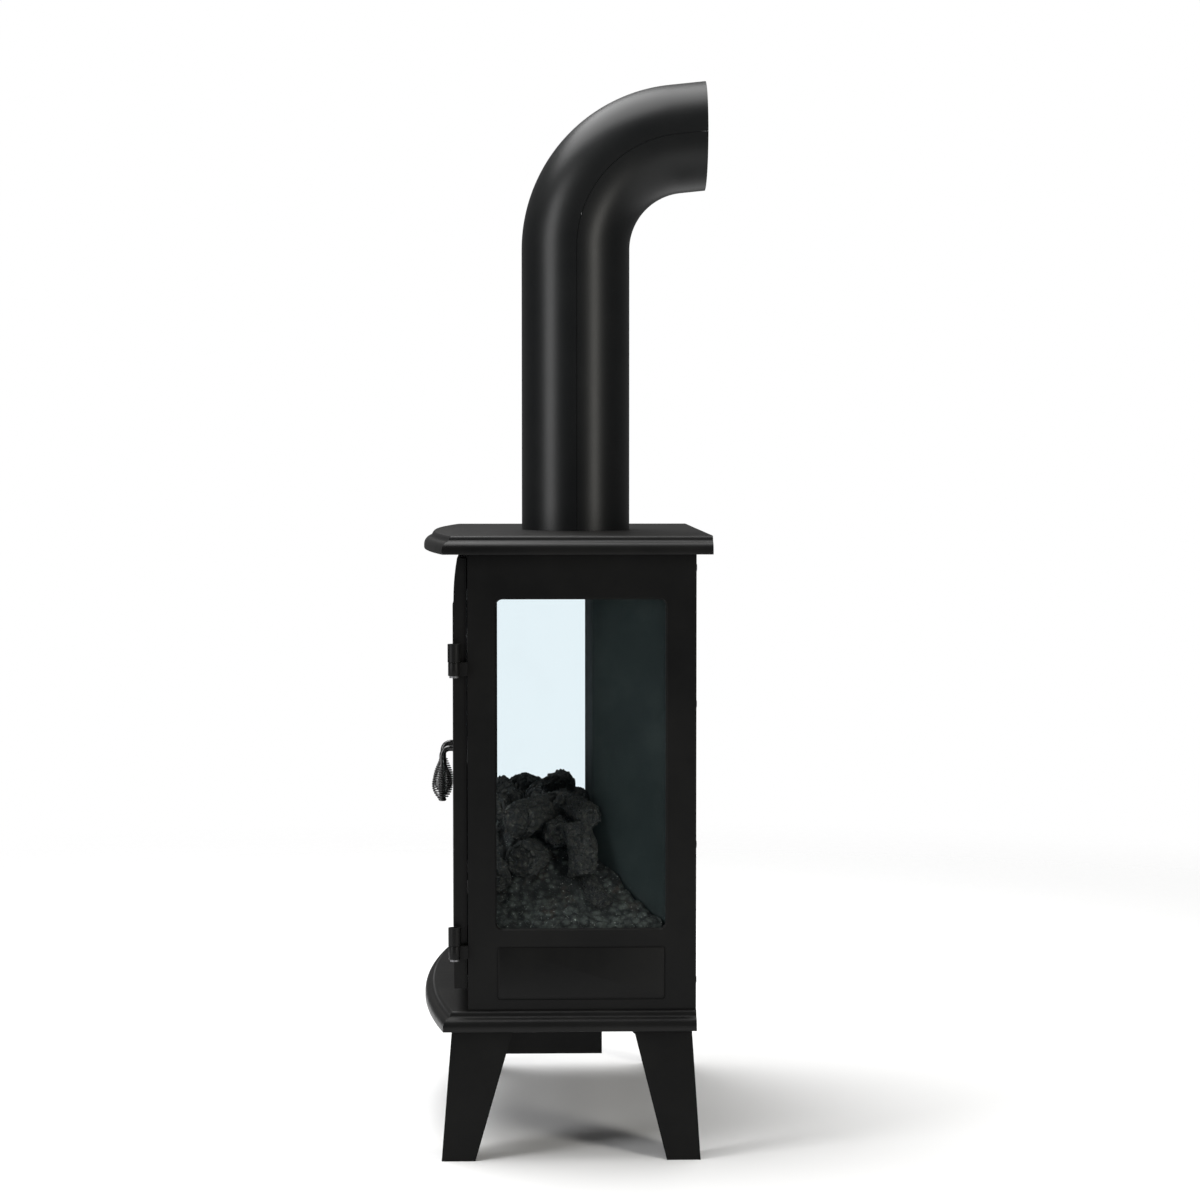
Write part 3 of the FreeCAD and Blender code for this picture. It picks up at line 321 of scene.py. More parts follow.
@dataclass(frozen=True)
class Pane:
    """Clear flat glass with a faint cool tint, greyed a little by a film of dust."""

    name: str
    tint: Colour = (0.957, 0.988, 1.0)
    body: Colour = (0.02, 0.03, 0.032)
    roughness: float = 0.04
    smear_scale: float = 14.0
    smear_dulls: float = 0.1
    smear_share: float = 0.012
    grazing: float = 0.22
    grazing_share: float = 0.5
    least_share: float = 0.01

    def make(self) -> bpy.types.Material:
        """Builds the glass as a clear shader mixed with a glossy one.

        Returns:
            The material.
        """
        book = NodeBook(self.name)
        smear = book.cloud(self.smear_scale, 5.0, 0.65)
        clear = book.add("ShaderNodeBsdfTransparent", None, {"Color": (*self.tint, 1.0)})
        rough = self.roughness + smear.band(0.45, 0.8) * self.smear_dulls
        inputs = {"Base Color": (*self.body, 1.0), "Roughness": rough}
        gloss = book.add("ShaderNodeBsdfPrincipled", None, inputs)
        edge = book.add("ShaderNodeLayerWeight", None, {"Blend": self.grazing}, "Fresnel")
        share = self.least_share + edge * self.grazing_share + smear.band(0.5, 0.85) * self.smear_share
        return book.close(book.add("ShaderNodeMixShader", None, {0: share, 1: clear, 2: gloss}))


@dataclass(frozen=True)
class Metal:
    """Bare or plated metal with drawn lines and duller patches."""

    name: str
    colour: Colour
    roughness: float
    lines: float = 900.0
    line_stretch: Point = (0.05, 1.0, 1.0)
    line_depth: float = 0.03 * MM
    line_dulls: float = 0.12
    tarnish_scale: float = 40.0
    tarnish_darkens: float = 0.55
    tarnish_dulls: float = 0.15
    tarnish_covers: float = 0.25

    def make(self) -> bpy.types.Material:
        """Builds the metal.

        Returns:
            The material.
        """
        book = NodeBook(self.name)
        inputs = {"Vector": book.place(), "Scale": self.line_stretch}
        streak = book.cloud(self.lines, 2.0, 0.5, book.add("ShaderNodeMapping", None, inputs))
        tarnish = book.cloud(self.tarnish_scale)
        darker = tuple(part * self.tarnish_darkens for part in self.colour)
        return book.finish({
            "Base Color": book.blend(tarnish.band(0.4, 0.75), self.colour, darker),
            "Metallic": 1.0 - tarnish.band(0.6, 0.9) * self.tarnish_covers,
            "Roughness": self.roughness + streak * self.line_dulls + tarnish * self.tarnish_dulls,
            "Normal": book.bump(streak, self.line_depth, 0.5),
        })


@dataclass(frozen=True)
class Moulding:
    """Moulded plastic with a fine sparked texture."""

    name: str
    colour: Colour = (0.012, 0.012, 0.012)
    roughness: float = 0.5
    roughness_spread: float = 0.15
    spark_scale: float = 1500.0
    spark_depth: float = 0.06 * MM
    shade_scale: float = 60.0

    def make(self) -> bpy.types.Material:
        """Builds the plastic.

        Returns:
            The material.
        """
        book = NodeBook(self.name)
        shade = book.cloud(self.shade_scale, 3.0)
        lighter = tuple(part * 1.5 + 0.002 for part in self.colour)
        return book.finish({
            "Base Color": book.blend(shade, self.colour, lighter),
            "Roughness": self.roughness + (shade - 0.5) * self.roughness_spread,
            "Normal": book.bump(book.cells(self.spark_scale), self.spark_depth, 0.5),
        })


@dataclass(frozen=True)
class Bark:
    """Painted resin bark: charred black-brown, dry grey ridges and rusty patches."""

    name: str
    char: Colour = (0.008, 0.0085, 0.009)
    bark: Colour = (0.046, 0.041, 0.034)
    ridge: Colour = (0.16, 0.155, 0.135)
    rust: Colour = (0.1, 0.055, 0.03)
    rust_share: float = 0.55
    patch_scale: float = 26.0
    fibre_scale: float = 170.0
    fibre_depth: float = 1.6 * MM
    crack_scale: float = 130.0
    crack_depth: float = 1.2 * MM
    crack_share: float = 0.8
    roughness: float = 0.62
    roughness_spread: float = 0.25

    def make(self) -> bpy.types.Material:
        """Builds the bark.

        Returns:
            The material.
        """
        book = NodeBook(self.name)
        patch = book.cloud(self.patch_scale, 5.0, 0.6)
        fibre = book.cloud(self.fibre_scale, 6.0, 0.72)
        crack = book.cells(self.crack_scale, "DISTANCE_TO_EDGE")
        colour = book.blend(fibre.band(0.36, 0.62), self.char, self.bark)
        colour = book.blend(fibre.band(0.56, 0.72) * patch.band(0.4, 0.62), colour, self.ridge)
        colour = book.blend(patch.band(0.58, 0.74) * self.rust_share, colour, self.rust)
        colour = book.blend((1.0 - crack.band(0.0, 0.09)) * self.crack_share, colour, self.char)
        cracked = book.bump(crack.band(0.0, 0.12), self.crack_depth, 0.7)
        return book.finish({
            "Base Color": colour,
            "Roughness": self.roughness + fibre * self.roughness_spread,
            "Normal": book.bump(fibre, self.fibre_depth, 0.8, cracked),
        })


@dataclass(frozen=True)
class Embers:
    """Painted ember bed: black clinker, grey-green ash low down, rusty glow paint and glinting specks."""

    name: str
    ash_level: Pair = (0.226, 0.27)
    clinker: Colour = (0.007, 0.0065, 0.006)
    ash: Colour = (0.14, 0.148, 0.13)
    rust: Colour = (0.07, 0.032, 0.015)
    glint: Colour = (0.75, 0.75, 0.68)
    patch_scale: float = 34.0
    grit_scale: float = 240.0
    grit_depth: float = 2.2 * MM
    coal_scale: float = 150.0
    lump_scale: float = 62.0
    lump_share: float = 0.8
    coal_depth: float = 3 * MM
    speck_scale: float = 430.0
    roughness: float = 0.8
    glint_roughness: float = 0.2
    glint_metal: float = 0.8

    def make(self) -> bpy.types.Material:
        """Builds the ember paint.

        Returns:
            The material.
        """
        book = NodeBook(self.name)
        height = book.add("ShaderNodeSeparateXYZ", None, {0: book.place()}, "Z")
        patch = book.cloud(self.patch_scale, 5.0, 0.65)
        grit = book.cloud(self.grit_scale, 5.0, 0.7)
        coals = 1.0 - book.cells(self.coal_scale)
        lumps = 1.0 - book.cells(self.lump_scale)
        low = (1.0 - height.band(*self.ash_level)) * patch.band(0.3, 0.65)
        low_ash = low * (0.2 + grit.band(0.35, 0.65) * 0.5) * coals.band(0.1, 0.6)
        colour = book.blend(coals.band(0.35, 0.9) * lumps.band(0.1, 0.7) * 0.5, self.clinker, self.ash)
        colour = book.blend(patch.band(0.55, 0.72) * 0.5, colour, self.rust)
        colour = book.blend(low_ash, colour, self.ash)
        spark = (1.0 - book.cells(self.speck_scale).band(0.1, 0.24)) * grit.band(0.52, 0.6)
        lumpy = book.bump(coals + lumps * self.lump_share, self.coal_depth, 0.8)
        return book.finish({
            "Base Color": book.blend(spark, colour, self.glint),
            "Roughness": self.roughness - spark * (self.roughness - self.glint_roughness),
            "Metallic": spark * self.glint_metal,
            "Normal": book.bump(grit, self.grit_depth, 0.8, lumpy),
        })


@dataclass(frozen=True)
class StudioPaper:
    """Pale paper with barely visible tooth, which thins out to nothing far from the stove."""

    name: str
    colour: Colour = (0.93, 0.93, 0.93)
    tooth_scale: float = 5.0
    tooth_darkens: float = 0.99
    roughness: float = 0.85
    fade: Pair = (1.2, 2.5)

    def make(self) -> bpy.types.Material:
        """Builds the paper.

        Returns:
            The material.
        """
        book = NodeBook(self.name)
        darker = tuple(part * self.tooth_darkens for part in self.colour)
        away = book.add("ShaderNodeVectorMath", {"operation": "LENGTH"}, {0: book.place()}, "Value")
        return book.finish({
            "Base Color": book.blend(book.cloud(self.tooth_scale, 3.0), self.colour, darker),
            "Roughness": self.roughness,
            "Alpha": 1.0 - away.band(*self.fade),
        })


class Finish(Enum):
    """Every finish of the stove and its stage."""

    CASING = Coating("casing_powder_coat")
    PLATE = Coating("plate_powder_coat", dust_share=0.22, roughness=0.38, shine=0.2)
    PIPE = Coating(
        "pipe_enamel", (0.003, 0.0036, 0.004), (0.0055, 0.006, 0.0062), dust_share=0.05,
        roughness=0.36, spread=0.05, peel=420.0, peel_depth=0.03 * MM, shine=0.26,
    )
    INSIDE = Coating(
        "firebox_paint", (0.02, 0.026, 0.025), (0.034, 0.042, 0.04), (0.06, 0.065, 0.058),
        roughness=0.75, shine=0.15,
    )
    SCREEN = Coating("flame_screen_film", (0.016, 0.02, 0.02), (0.026, 0.03, 0.03), roughness=0.7, shine=0.1)
    ROD = Coating("handle_gloss", roughness=0.14, spread=0.05, coat=0.5, shine=0.5)
    GLASS = Pane("window_glass")
    BRIGHT = Metal("bright_metal", (0.75, 0.75, 0.74), 0.16)
    STEEL = Metal("plain_steel", (0.42, 0.42, 0.43), 0.32)
    ZINC = Metal("dark_zinc", (0.2, 0.2, 0.21), 0.38)
    PLASTIC = Moulding("black_plastic")
    BOARD = Moulding("green_board", (0.012, 0.06, 0.025), 0.35)
    BARK = Bark("log_resin_bark")
    EMBERS = Embers("ember_resin")
    PAPER = StudioPaper("studio_paper")


class Slot(Enum):
    """Material slots of the part's record."""

    BLACK = "black_steel"
    PIPE = "pipe_black"
    GLOSS = "handle_gloss"
    LOG = "log_resin"
    EMBER = "ember_resin"


class Palette:
    """Makes each finish once, when it is first asked for."""

    def __init__(self) -> None:
        """Starts with nothing made."""
        self._made: dict[Finish, bpy.types.Material] = {}

    def dress(self, piece: bpy.types.Object, finish: Finish) -> None:
        """Gives a piece one finish.

        Args:
            piece: the object to dress.
            finish: the finish it gets.
        """
        if finish not in self._made:
            self._made[finish] = finish.value.make()
        piece.data.materials.clear()
        piece.data.materials.append(self._made[finish])

    def fit(
        self, piece: bpy.types.Object, finish: Finish, slot: Slot, body: str, instead_of: Sequence[str] = (),
    ) -> None:
        """Dresses a piece and lets it move with its body.

        Args:
            piece: the finished piece, in place.
            finish: the finish it gets.
            slot: the record's material slot; not used.
            body: the body that carries it.
            instead_of: the CAD nodes that it stands for.
        """
        self.dress(piece, finish)
        if instead_of:
            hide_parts(*instead_of)
        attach(piece, body)
        LOG.info("%s built", piece.name)


# ---------------------------------------------------------------- mesh building


class Shaper:
    """Builds closed meshes out of rings of points."""

    @staticmethod
    def circle(count: int) -> list[float]:
        """Evenly spaced angles round a full turn, in radians."""
        return [2 * math.pi * step / count for step in range(count)]

    @staticmethod
    def piece(
        name: str, points: Sequence[Point], faces: Sequence[Sequence[int]], crease: float = 35.0,
    ) -> bpy.types.Object:
        """Makes a mesh object with smooth faces and creased edges.

        Args:
            name: the piece's name.
            points: its vertices, in metres.
            faces: its faces.
            crease: edges that turn more than this many degrees stay sharp.

        Returns:
            The new object.
        """
        mesh = bpy.data.meshes.new(name)
        mesh.from_pydata(list(points), [], [list(face) for face in faces])
        mesh.validate()
        mesh.shade_smooth()
        mesh.set_sharp_from_angle(angle=math.radians(crease))
        made = bpy.data.objects.new(name, mesh)
        bpy.context.scene.collection.objects.link(made)
        return made

    @staticmethod
    def loft(rings: Sequence[Ring], loop: bool = False) -> tuple[list[Point], list[list[int]]]:
        """Joins closed rings in order into one closed surface.

        Args:
            rings: rings of equal length.
            loop: True when the last ring joins the first, False to cap both ends.

        Returns:
            Points and faces.
        """
        size = len(rings[0])
        points = [point for ring in rings for point in ring]
        faces = []
        for index in range(len(rings) if loop else len(rings) - 1):
            here, there = index * size, (index + 1) % len(rings) * size
            for step in range(size):
                after = (step + 1) % size
                faces.append([here + step, here + after, there + after, there + step])
        if not loop:
            faces.append(list(range(size))[::-1])
            faces.append([len(points) - size + step for step in range(size)])
        return points, faces

    @staticmethod
    def arc(start: Pair, end: Pair, radius: float, way: int, steps: int) -> list[Pair]:
        """Points of a circular arc in a plane.

        Args:
            start: first point.
            end: last point.
            radius: the arc's radius.
            way: 1 anticlockwise, -1 clockwise.
            steps: number of chords.

        Returns:
            The points, both ends included.
        """
        (x0, y0), (x1, y1) = start, end
        chord = math.hypot(x1 - x0, y1 - y0)
        rise = math.sqrt(max(radius ** 2 - chord ** 2 / 4, 0.0)) * way
        cx = (x0 + x1) / 2 - (y1 - y0) / chord * rise
        cy = (y0 + y1) / 2 + (x1 - x0) / chord * rise
        first = math.atan2(y0 - cy, x0 - cx)
        sweep = (math.atan2(y1 - cy, x1 - cx) - first) * way % (2 * math.pi) * way
        turns = [first + sweep * step / steps for step in range(steps + 1)]
        return [(cx + radius * math.cos(turn), cy + radius * math.sin(turn)) for turn in turns]

    @classmethod
    def lathe(cls, name: str, profile: Sequence[Pair], x: float, y: float, sides: int) -> bpy.types.Object:
        """Turns a profile about an upright axis.

        Args:
            name: the piece's name.
            profile: (radius, height) points from the bottom up; the ends are capped.
            x: the axis's place.
            y: the axis's place.
            sides: points round the axis.

        Returns:
            The new object.
        """
        turns = cls.circle(sides)
        rings = [[(x + r * math.cos(t), y + r * math.sin(t), z) for t in turns] for r, z in profile]
        return cls.piece(name, *cls.loft(rings))

    @classmethod
    def tube(cls, name: str, path: Sequence[Vector], radius: float, sides: int) -> bpy.types.Object:
        """Sweeps a circle along a path.

        Args:
            name: the piece's name.
            path: centre points.
            radius: the tube's radius.
            sides: points round the tube.

        Returns:
            The new object.
        """
        rings = []
        side = Vector((1, 0, 0))
        for index, point in enumerate(path):
            ahead = (path[min(index + 1, len(path) - 1)] - path[max(index - 1, 0)]).normalized()
            side = (side - ahead * side.dot(ahead)).normalized()
            third = ahead.cross(side)
            spokes = [side * math.cos(turn) + third * math.sin(turn) for turn in cls.circle(sides)]
            rings.append([tuple(point + spoke * radius) for spoke in spokes])
        return cls.piece(name, *cls.loft(rings), crease=60.0)


# ---------------------------------------------------------------- sub-assemblies


@dataclass
class MouldedPlate:
    """Top or base plate: ogee edge on three sides, bowed front, mitred corners, open underneath."""

    node: str
    finish: Finish
    palette: Palette
    run: float = 11 * MM
    bow_rise: float = 22.5 * MM
    rim: float = 14.4 * MM
    skin: float = 4 * MM
    bow_points: int = 48

    def profile(self, thick: float) -> list[Pair]:
        """Inset and height of the moulded edge, from the lip's foot up to the flat.

        Args:
            thick: the plate's thickness.

        Returns:
            The profile's points.
        """
        run = self.run
        foot = [(0.9 * MM, 0.0), (0.25 * MM, 0.3 * MM), (0.0, 1.0 * MM)]
        nose = Shaper.arc((0.0, 0.2 * thick), (0.5 * run, 0.66 * thick), 0.47 * thick, -1, 10)
        cove = Shaper.arc(nose[-1], (0.8 * run, 0.86 * thick), 0.3 * thick, 1, 7)
        top = [(0.93 * run, 0.955 * thick), (run, 0.985 * thick), (1.13 * run, thick)]
        return foot + nose + cove[1:] + top

    def ring(self, inset: float, back_inset: float, level: float) -> Ring:
        """The plate's outline at one inset.

        Args:
            inset: distance in from the sides and the bowed front.
            back_inset: distance in from the straight rear edge.
            level: height.

        Returns:
            Closed ring of points, anticlockwise from above.
        """
        (x_low, y_low, _), (x_high, y_high, _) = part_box(self.node)
        half = (x_high - x_low) / 2
        radius = (half ** 2 + self.bow_rise ** 2) / (2 * self.bow_rise)
        centre = y_low + radius
        wide = half - inset
        points: Ring = [(-wide, y_high - back_inset, level)]
        for step in range(self.bow_points + 1):
            x = wide * (2 * step / self.bow_points - 1)
            points.append((x, centre - math.sqrt((radius - inset) ** 2 - x ** 2), level))
        points.append((wide, y_high - back_inset, level))
        return points

    def build(self) -> None:
        """Builds the plate from the top of its hollow, down the rim's inside and up the moulded edge."""
        low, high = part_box(self.node)
        rings = [self.ring(self.rim, self.rim, level) for level in (high.z - self.skin, low.z)]
        rings += [self.ring(inset, 0.0, low.z + rise) for inset, rise in self.profile(high.z - low.z)]
        piece = Shaper.piece(self.node + "_moulded", *Shaper.loft(rings), crease=28.0)
        self.palette.fit(piece, self.finish, Slot.BLACK, "casing", [self.node])


@dataclass
class FluePipe:
    """Dummy pipe in two pressed half shells with rolled seam edges, cut upright at the outlet."""

    palette: Palette
    wall: float = 1.5 * MM
    bend: float = 115.5 * MM
    straight: float = 290 * MM
    sweep: float = math.radians(84)
    seam: float = 0.5 * MM
    roll: float = 0.5 * MM
    roll_gap: float = 0.35
    inner_gap: float = 0.05 * MM
    straight_steps: int = 25
    bend_steps: int = 48
    outlet_steps: int = 6
    outer_steps: int = 56
    inner_steps: int = 32

    def radius(self) -> float:
        """The pipe's outer radius."""
        low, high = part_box("pipe_front_half")
        return (high.x - low.x) / 2

    def stations(self) -> list[tuple[Vector, Vector]]:
        """Places the rings from the foot to the outlet plane.

        Returns:
            Centre and forward direction at each station.
        """
        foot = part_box("pipe_front_half")[0]
        axis = foot.y + self.radius()
        found = []
        for step in range(self.straight_steps):
            level = foot.z + self.straight * step / self.straight_steps
            found.append((Vector((0, axis, level)), Vector((0, 0, 1))))
        for step in range(self.bend_steps + 1):
            turn = self.sweep * step / self.bend_steps
            y = axis + self.bend * (1 - math.cos(turn))
            z = foot.z + self.straight + self.bend * math.sin(turn)
            found.append((Vector((0, y, z)), Vector((0, math.sin(turn), math.cos(turn)))))
        last, ahead = found[-1]
        reach = (self.outlet() - last.y) / ahead.y
        for step in range(1, self.outlet_steps + 1):
            found.append((last + ahead * reach * step / self.outlet_steps, ahead))
        return found

    @staticmethod
    def outlet() -> float:
        """The y of the outlet's upright plane."""
        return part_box("pipe_rear_half")[1].y

    def section(self, radius: float, outward: int) -> list[Pair]:
        """Closed half-ring section: x across the seam plane, and distance out from it.

        Args:
            radius: the pipe's outer radius.
            outward: -1 for the half outside the bend, 1 for the half inside it.

        Returns:
            The section's points.
        """
        gap = self.seam / 2 / radius
        inner = radius - self.wall
        rolled, turned_in = radius - self.roll, gap * self.roll_gap
        shape = [(rolled * math.cos(turned_in), rolled * math.sin(turned_in))]
        for step in range(self.outer_steps + 1):
            turn = gap + (math.pi - 2 * gap) * step / self.outer_steps
            shape.append((radius * math.cos(turn), radius * math.sin(turn)))
        shape.append((-shape[0][0], shape[0][1]))
        for step in range(self.inner_steps + 1):
            turn = math.pi * (1 - step / self.inner_steps)
            shape.append((inner * math.cos(turn), max(inner * math.sin(turn), self.inner_gap)))
        return [(x, outward * away) for x, away in shape]

    def shell(self, outward: int) -> list[Ring]:
        """Rings of one half shell.

        Args:
            outward: -1 for the half outside the bend, 1 for the half inside it.

        Returns:
            The rings, from the foot to the outlet.
        """
        stations = self.stations()
        section = self.section(self.radius(), outward)
        bend_end = len(stations) - self.outlet_steps - 1
        rings = []
        for number, (centre, ahead) in enumerate(stations):
            out = Vector((0, ahead.z, -ahead.y))
            ring = [centre + Vector((x, 0, 0)) + out * away for x, away in section]
            if number > bend_end:
                share = (number - bend_end) / self.outlet_steps
                ring = [self.slide(point, stations[bend_end][0], ahead, share) for point in ring]
            rings.append([tuple(point) for point in ring])
        return rings

    def slide(self, point: Vector, start: Vector, ahead: Vector, share: float) -> Vector:
        """Moves a point of the last run along it so that the run ends in the outlet's upright plane.

        Args:
            point: the point on a square-cut ring.
            start: the centre where the last run starts.
            ahead: the run's direction.
            share: how far along the run the ring is, 0 to 1.

        Returns:
            The moved point.
        """
        back = point - ahead * (point - start).dot(ahead)
        reach = (self.outlet() - back.y) / ahead.y
        return back + ahead * reach * share

    def build(self) -> None:
        """Builds both half shells."""
        for node, outward in (("pipe_front_half", -1), ("pipe_rear_half", 1)):
            piece = Shaper.piece(node + "_shell", *Shaper.loft(self.shell(outward)), crease=40.0)
            self.palette.fit(piece, Finish.PIPE, Slot.PIPE, "casing", [node])


@dataclass
class SpringHandle:
    """Bent gloss rod with a wound spring grip, tapering up from a full bulb."""

    side: str
    palette: Palette
    turns: int = 15
    turn_points: int = 22
    wire: float = 0.74 * MM
    wire_sides: int = 8
    throat: float = 3.9 * MM
    bulb: float = 10.2 * MM
    bulb_place: float = 0.6
    tip: float = 4.2 * MM
    core: float = 3.4 * MM
    core_clearance: float = 0.8 * MM
    core_steps: int = 24
    turned_sides: int = 28
    spring_top: float = 0.5 * MM
    spring_foot: float = 3.2 * MM
    rod_radius: float = 3 * MM
    collar_sides: int = 36

    def radius_at(self, share: float) -> float:
        """Radius of the wound spring's middle line.

        Args:
            share: 0 at the top of the grip, 1 at its bottom.

        Returns:
            The radius, in metres.
        """
        if share < self.bulb_place:
            swell = math.sin(share / self.bulb_place * math.pi / 2) ** 1.25
            return self.throat + (self.bulb - self.throat) * swell
        fall = (share - self.bulb_place) / (1 - self.bulb_place)
        return self.bulb - (self.bulb - self.tip) * fall ** 2.2

    def build(self) -> None:
        """Builds the grip's spring, core and end cap."""
        grip = f"handle_grip_{self.side}"
        low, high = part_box(grip)
        x, y = (low.x + high.x) / 2, (low.y + high.y) / 2
        top, bottom = high.z - self.spring_top, low.z + self.spring_foot
        steps = self.turns * self.turn_points
        coil = []
        for step in range(steps + 1):
            share = step / steps
            turn = 2 * math.pi * self.turns * share
            wide = self.radius_at(share)
            level = top + (bottom - top) * share
            coil.append(Vector((x + wide * math.cos(turn), y + wide * math.sin(turn), level)))
        spring = Shaper.tube(f"grip_spring_{self.side}", coil, self.wire, self.wire_sides)
        body = []
        for step in range(self.core_steps, -1, -1):
            share = step / self.core_steps
            wide = min(self.radius_at(share) - self.core_clearance, self.core)
            body.append((wide, top + (bottom - top) * share))
        core = Shaper.lathe(f"grip_core_{self.side}", body, x, y, self.turned_sides)
        radius_and_rise = ((1.4, 0.0), (3.2, 0.3), (4.1, 1.3), (4.1, 2.6), (3.2, 3.6))
        cap = [(radius * MM, low.z + rise * MM) for radius, rise in radius_and_rise]
        end = Shaper.lathe(f"grip_cap_{self.side}", cap, x, y, self.turned_sides)
        for piece, nodes in ((spring, ()), (core, (grip,)), (end, ())):
            self.palette.fit(piece, Finish.ROD, Slot.GLOSS, f"handle_{self.side}", nodes)
        self.collar(x)

    def collar(self, x: float) -> None:
        """Adds the turned collar where the rod leaves the door.

        Args:
            x: the rod's place across the door.
        """
        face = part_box(f"door_frame_{self.side}")[0].y
        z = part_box(f"handle_rod_{self.side}")[1].z - self.rod_radius
        radius_and_stand = (
            (3.15, 0.1), (7.6, 0.1), (8.2, 0.6), (8.2, 1.6), (7.4, 2.4), (5.2, 2.9), (4.6, 4.0), (3.15, 4.2),
        )
        turns = Shaper.circle(self.collar_sides)
        rings = []
        for radius, stand in radius_and_stand:
            r, y = radius * MM, face - stand * MM
            rings.append([(x + r * math.cos(turn), y, z + r * math.sin(turn)) for turn in turns])
        piece = Shaper.piece(f"rod_collar_{self.side}", *Shaper.loft(rings, loop=True))
        self.palette.fit(piece, Finish.ROD, Slot.GLOSS, f"door_{self.side}")


@dataclass
class Hinges:
    """Domed door knuckles and the casing's lower knuckles under them."""

    palette: Palette
    pitch: float = 18 * MM
    gap: float = 0.3 * MM
    lug_length: float = 13 * MM
    lug_gap: float = 0.1 * MM
    lug_step: float = 0.45 * MM
    foot_round: float = 0.6 * MM
    cap_dome: float = 4 * MM
    lug_dome: float = 0.8 * MM
    dome_steps: int = 8
    sides: int = 40

    def knuckle(self, name: str, axis: Pair, levels: Pair, radius: float, dome: float) -> bpy.types.Object:
        """One turned knuckle.

        Args:
            name: the piece's name.
            axis: x and y of its axis.
            levels: bottom and top.
            radius: outer radius.
            dome: height of the rounded top; the foot has a small round.

        Returns:
            The new object.
        """
        (low, high), small = levels, self.foot_round
        foot = [(radius - small, low), (radius - small * 0.3, low + small * 0.3), (radius, low + small)]
        crown = []
        for step in range(self.dome_steps + 1):
            turn = math.pi / 2 * step / self.dome_steps
            wide = radius * (1 - 0.55 * (1 - math.cos(turn)))
            crown.append((wide, high - dome * (1 - math.sin(turn))))
        crown.append((radius * 0.2, high))
        return Shaper.lathe(name, foot + crown, *axis, self.sides)

    def build(self) -> None:
        """Builds an upper and a lower pair of knuckles on each side."""
        for side, sign in SIDES.items():
            low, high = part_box(f"door_knuckles_{side}")
            radius = (high.y - low.y) / 2
            axis = (sign * (max(abs(low.x), abs(high.x)) - radius), (low.y + high.y) / 2)
            for place, top in (("upper", high.z), ("lower", low.z + self.pitch - self.gap)):
                meet = top - self.pitch
                levels = (meet + self.gap, top)
                cap = self.knuckle(f"knuckle_{place}_{side}", axis, levels, radius, self.cap_dome)
                self.palette.fit(cap, Finish.CASING, Slot.BLACK, f"door_{side}")
                levels = (meet - self.lug_length, meet - self.lug_gap)
                slim = radius - self.lug_step
                lug = self.knuckle(f"lug_{place}_{side}", axis, levels, slim, self.lug_dome)
                self.palette.fit(lug, Finish.CASING, Slot.BLACK, "casing")


@dataclass
class LegGusset:
    """Small filled corner between a rear leg's front edge and the base plate."""

    side: str
    palette: Palette
    reach: float = 5.2 * MM
    drop: float = 5.4 * MM
    overlap: float = 2.2 * MM
    sheet: float = 2 * MM
    inset: float = 0.1 * MM

    def build(self) -> None:
        """Builds the gusset as a thin triangle with a slanted lower edge, let into the leg's sheet."""
        low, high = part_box(f"leg_rear_{self.side}")
        sign = SIDES[self.side]
        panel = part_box(f"side_panel_{self.side}")[sign > 0].x
        outer = sign * (panel * sign - self.inset)
        front, top = low.y, high.z
        shape = [
            (front + self.overlap, top),
            (front - self.reach, top),
            (front - self.reach * 0.75, top - self.drop * 0.12),
            (front + self.overlap * 0.6, top - self.drop),
            (front + self.overlap, top - self.drop),
        ]
        rings = [[(x, y, z) for y, z in shape] for x in (outer, outer - sign * self.sheet)]
        piece = Shaper.piece(f"leg_gusset_{self.side}", *Shaper.loft(rings))
        self.palette.fit(piece, Finish.CASING, Slot.BLACK, "casing")


@dataclass
class Bead:
    """Half-round bead run round a rectangle on the door's face."""

    side: str
    palette: Palette
    width: float = 5 * MM
    height: float = 1.6 * MM
    seat: float = 0.2 * MM
    sunk: float = 0.3 * MM
    offset: float = 0.6 * MM
    glass_cover: float = 8 * MM
    set_back: float = 2 * MM
    steps: int = 8

    def build(self) -> None:
        """Builds the bead round the door's window."""
        low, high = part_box(f"door_glass_{self.side}")
        hidden = self.glass_cover - self.set_back
        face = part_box(f"door_frame_{self.side}")[0].y + self.sunk
        section = [(self.offset, 0.0)]
        for step in range(self.steps + 1):
            turn = math.pi * step / self.steps
            across = self.width / 2 * (1 - math.cos(turn)) + self.offset
            section.append((across, -self.height * math.sin(turn) - self.seat))
        section.append((self.width + self.offset, 0.0))
        rings = []
        for away, rise in section:
            left, right = low.x + hidden - away, high.x - hidden + away
            foot, head = low.z + hidden - away, high.z - hidden + away
            y = face + rise
            rings.append([(left, y, foot), (right, y, foot), (right, y, head), (left, y, head)])
        piece = Shaper.piece(f"window_bead_{self.side}", *Shaper.loft(rings, loop=True), crease=40.0)
        self.palette.fit(piece, Finish.CASING, Slot.BLACK, f"door_{self.side}")


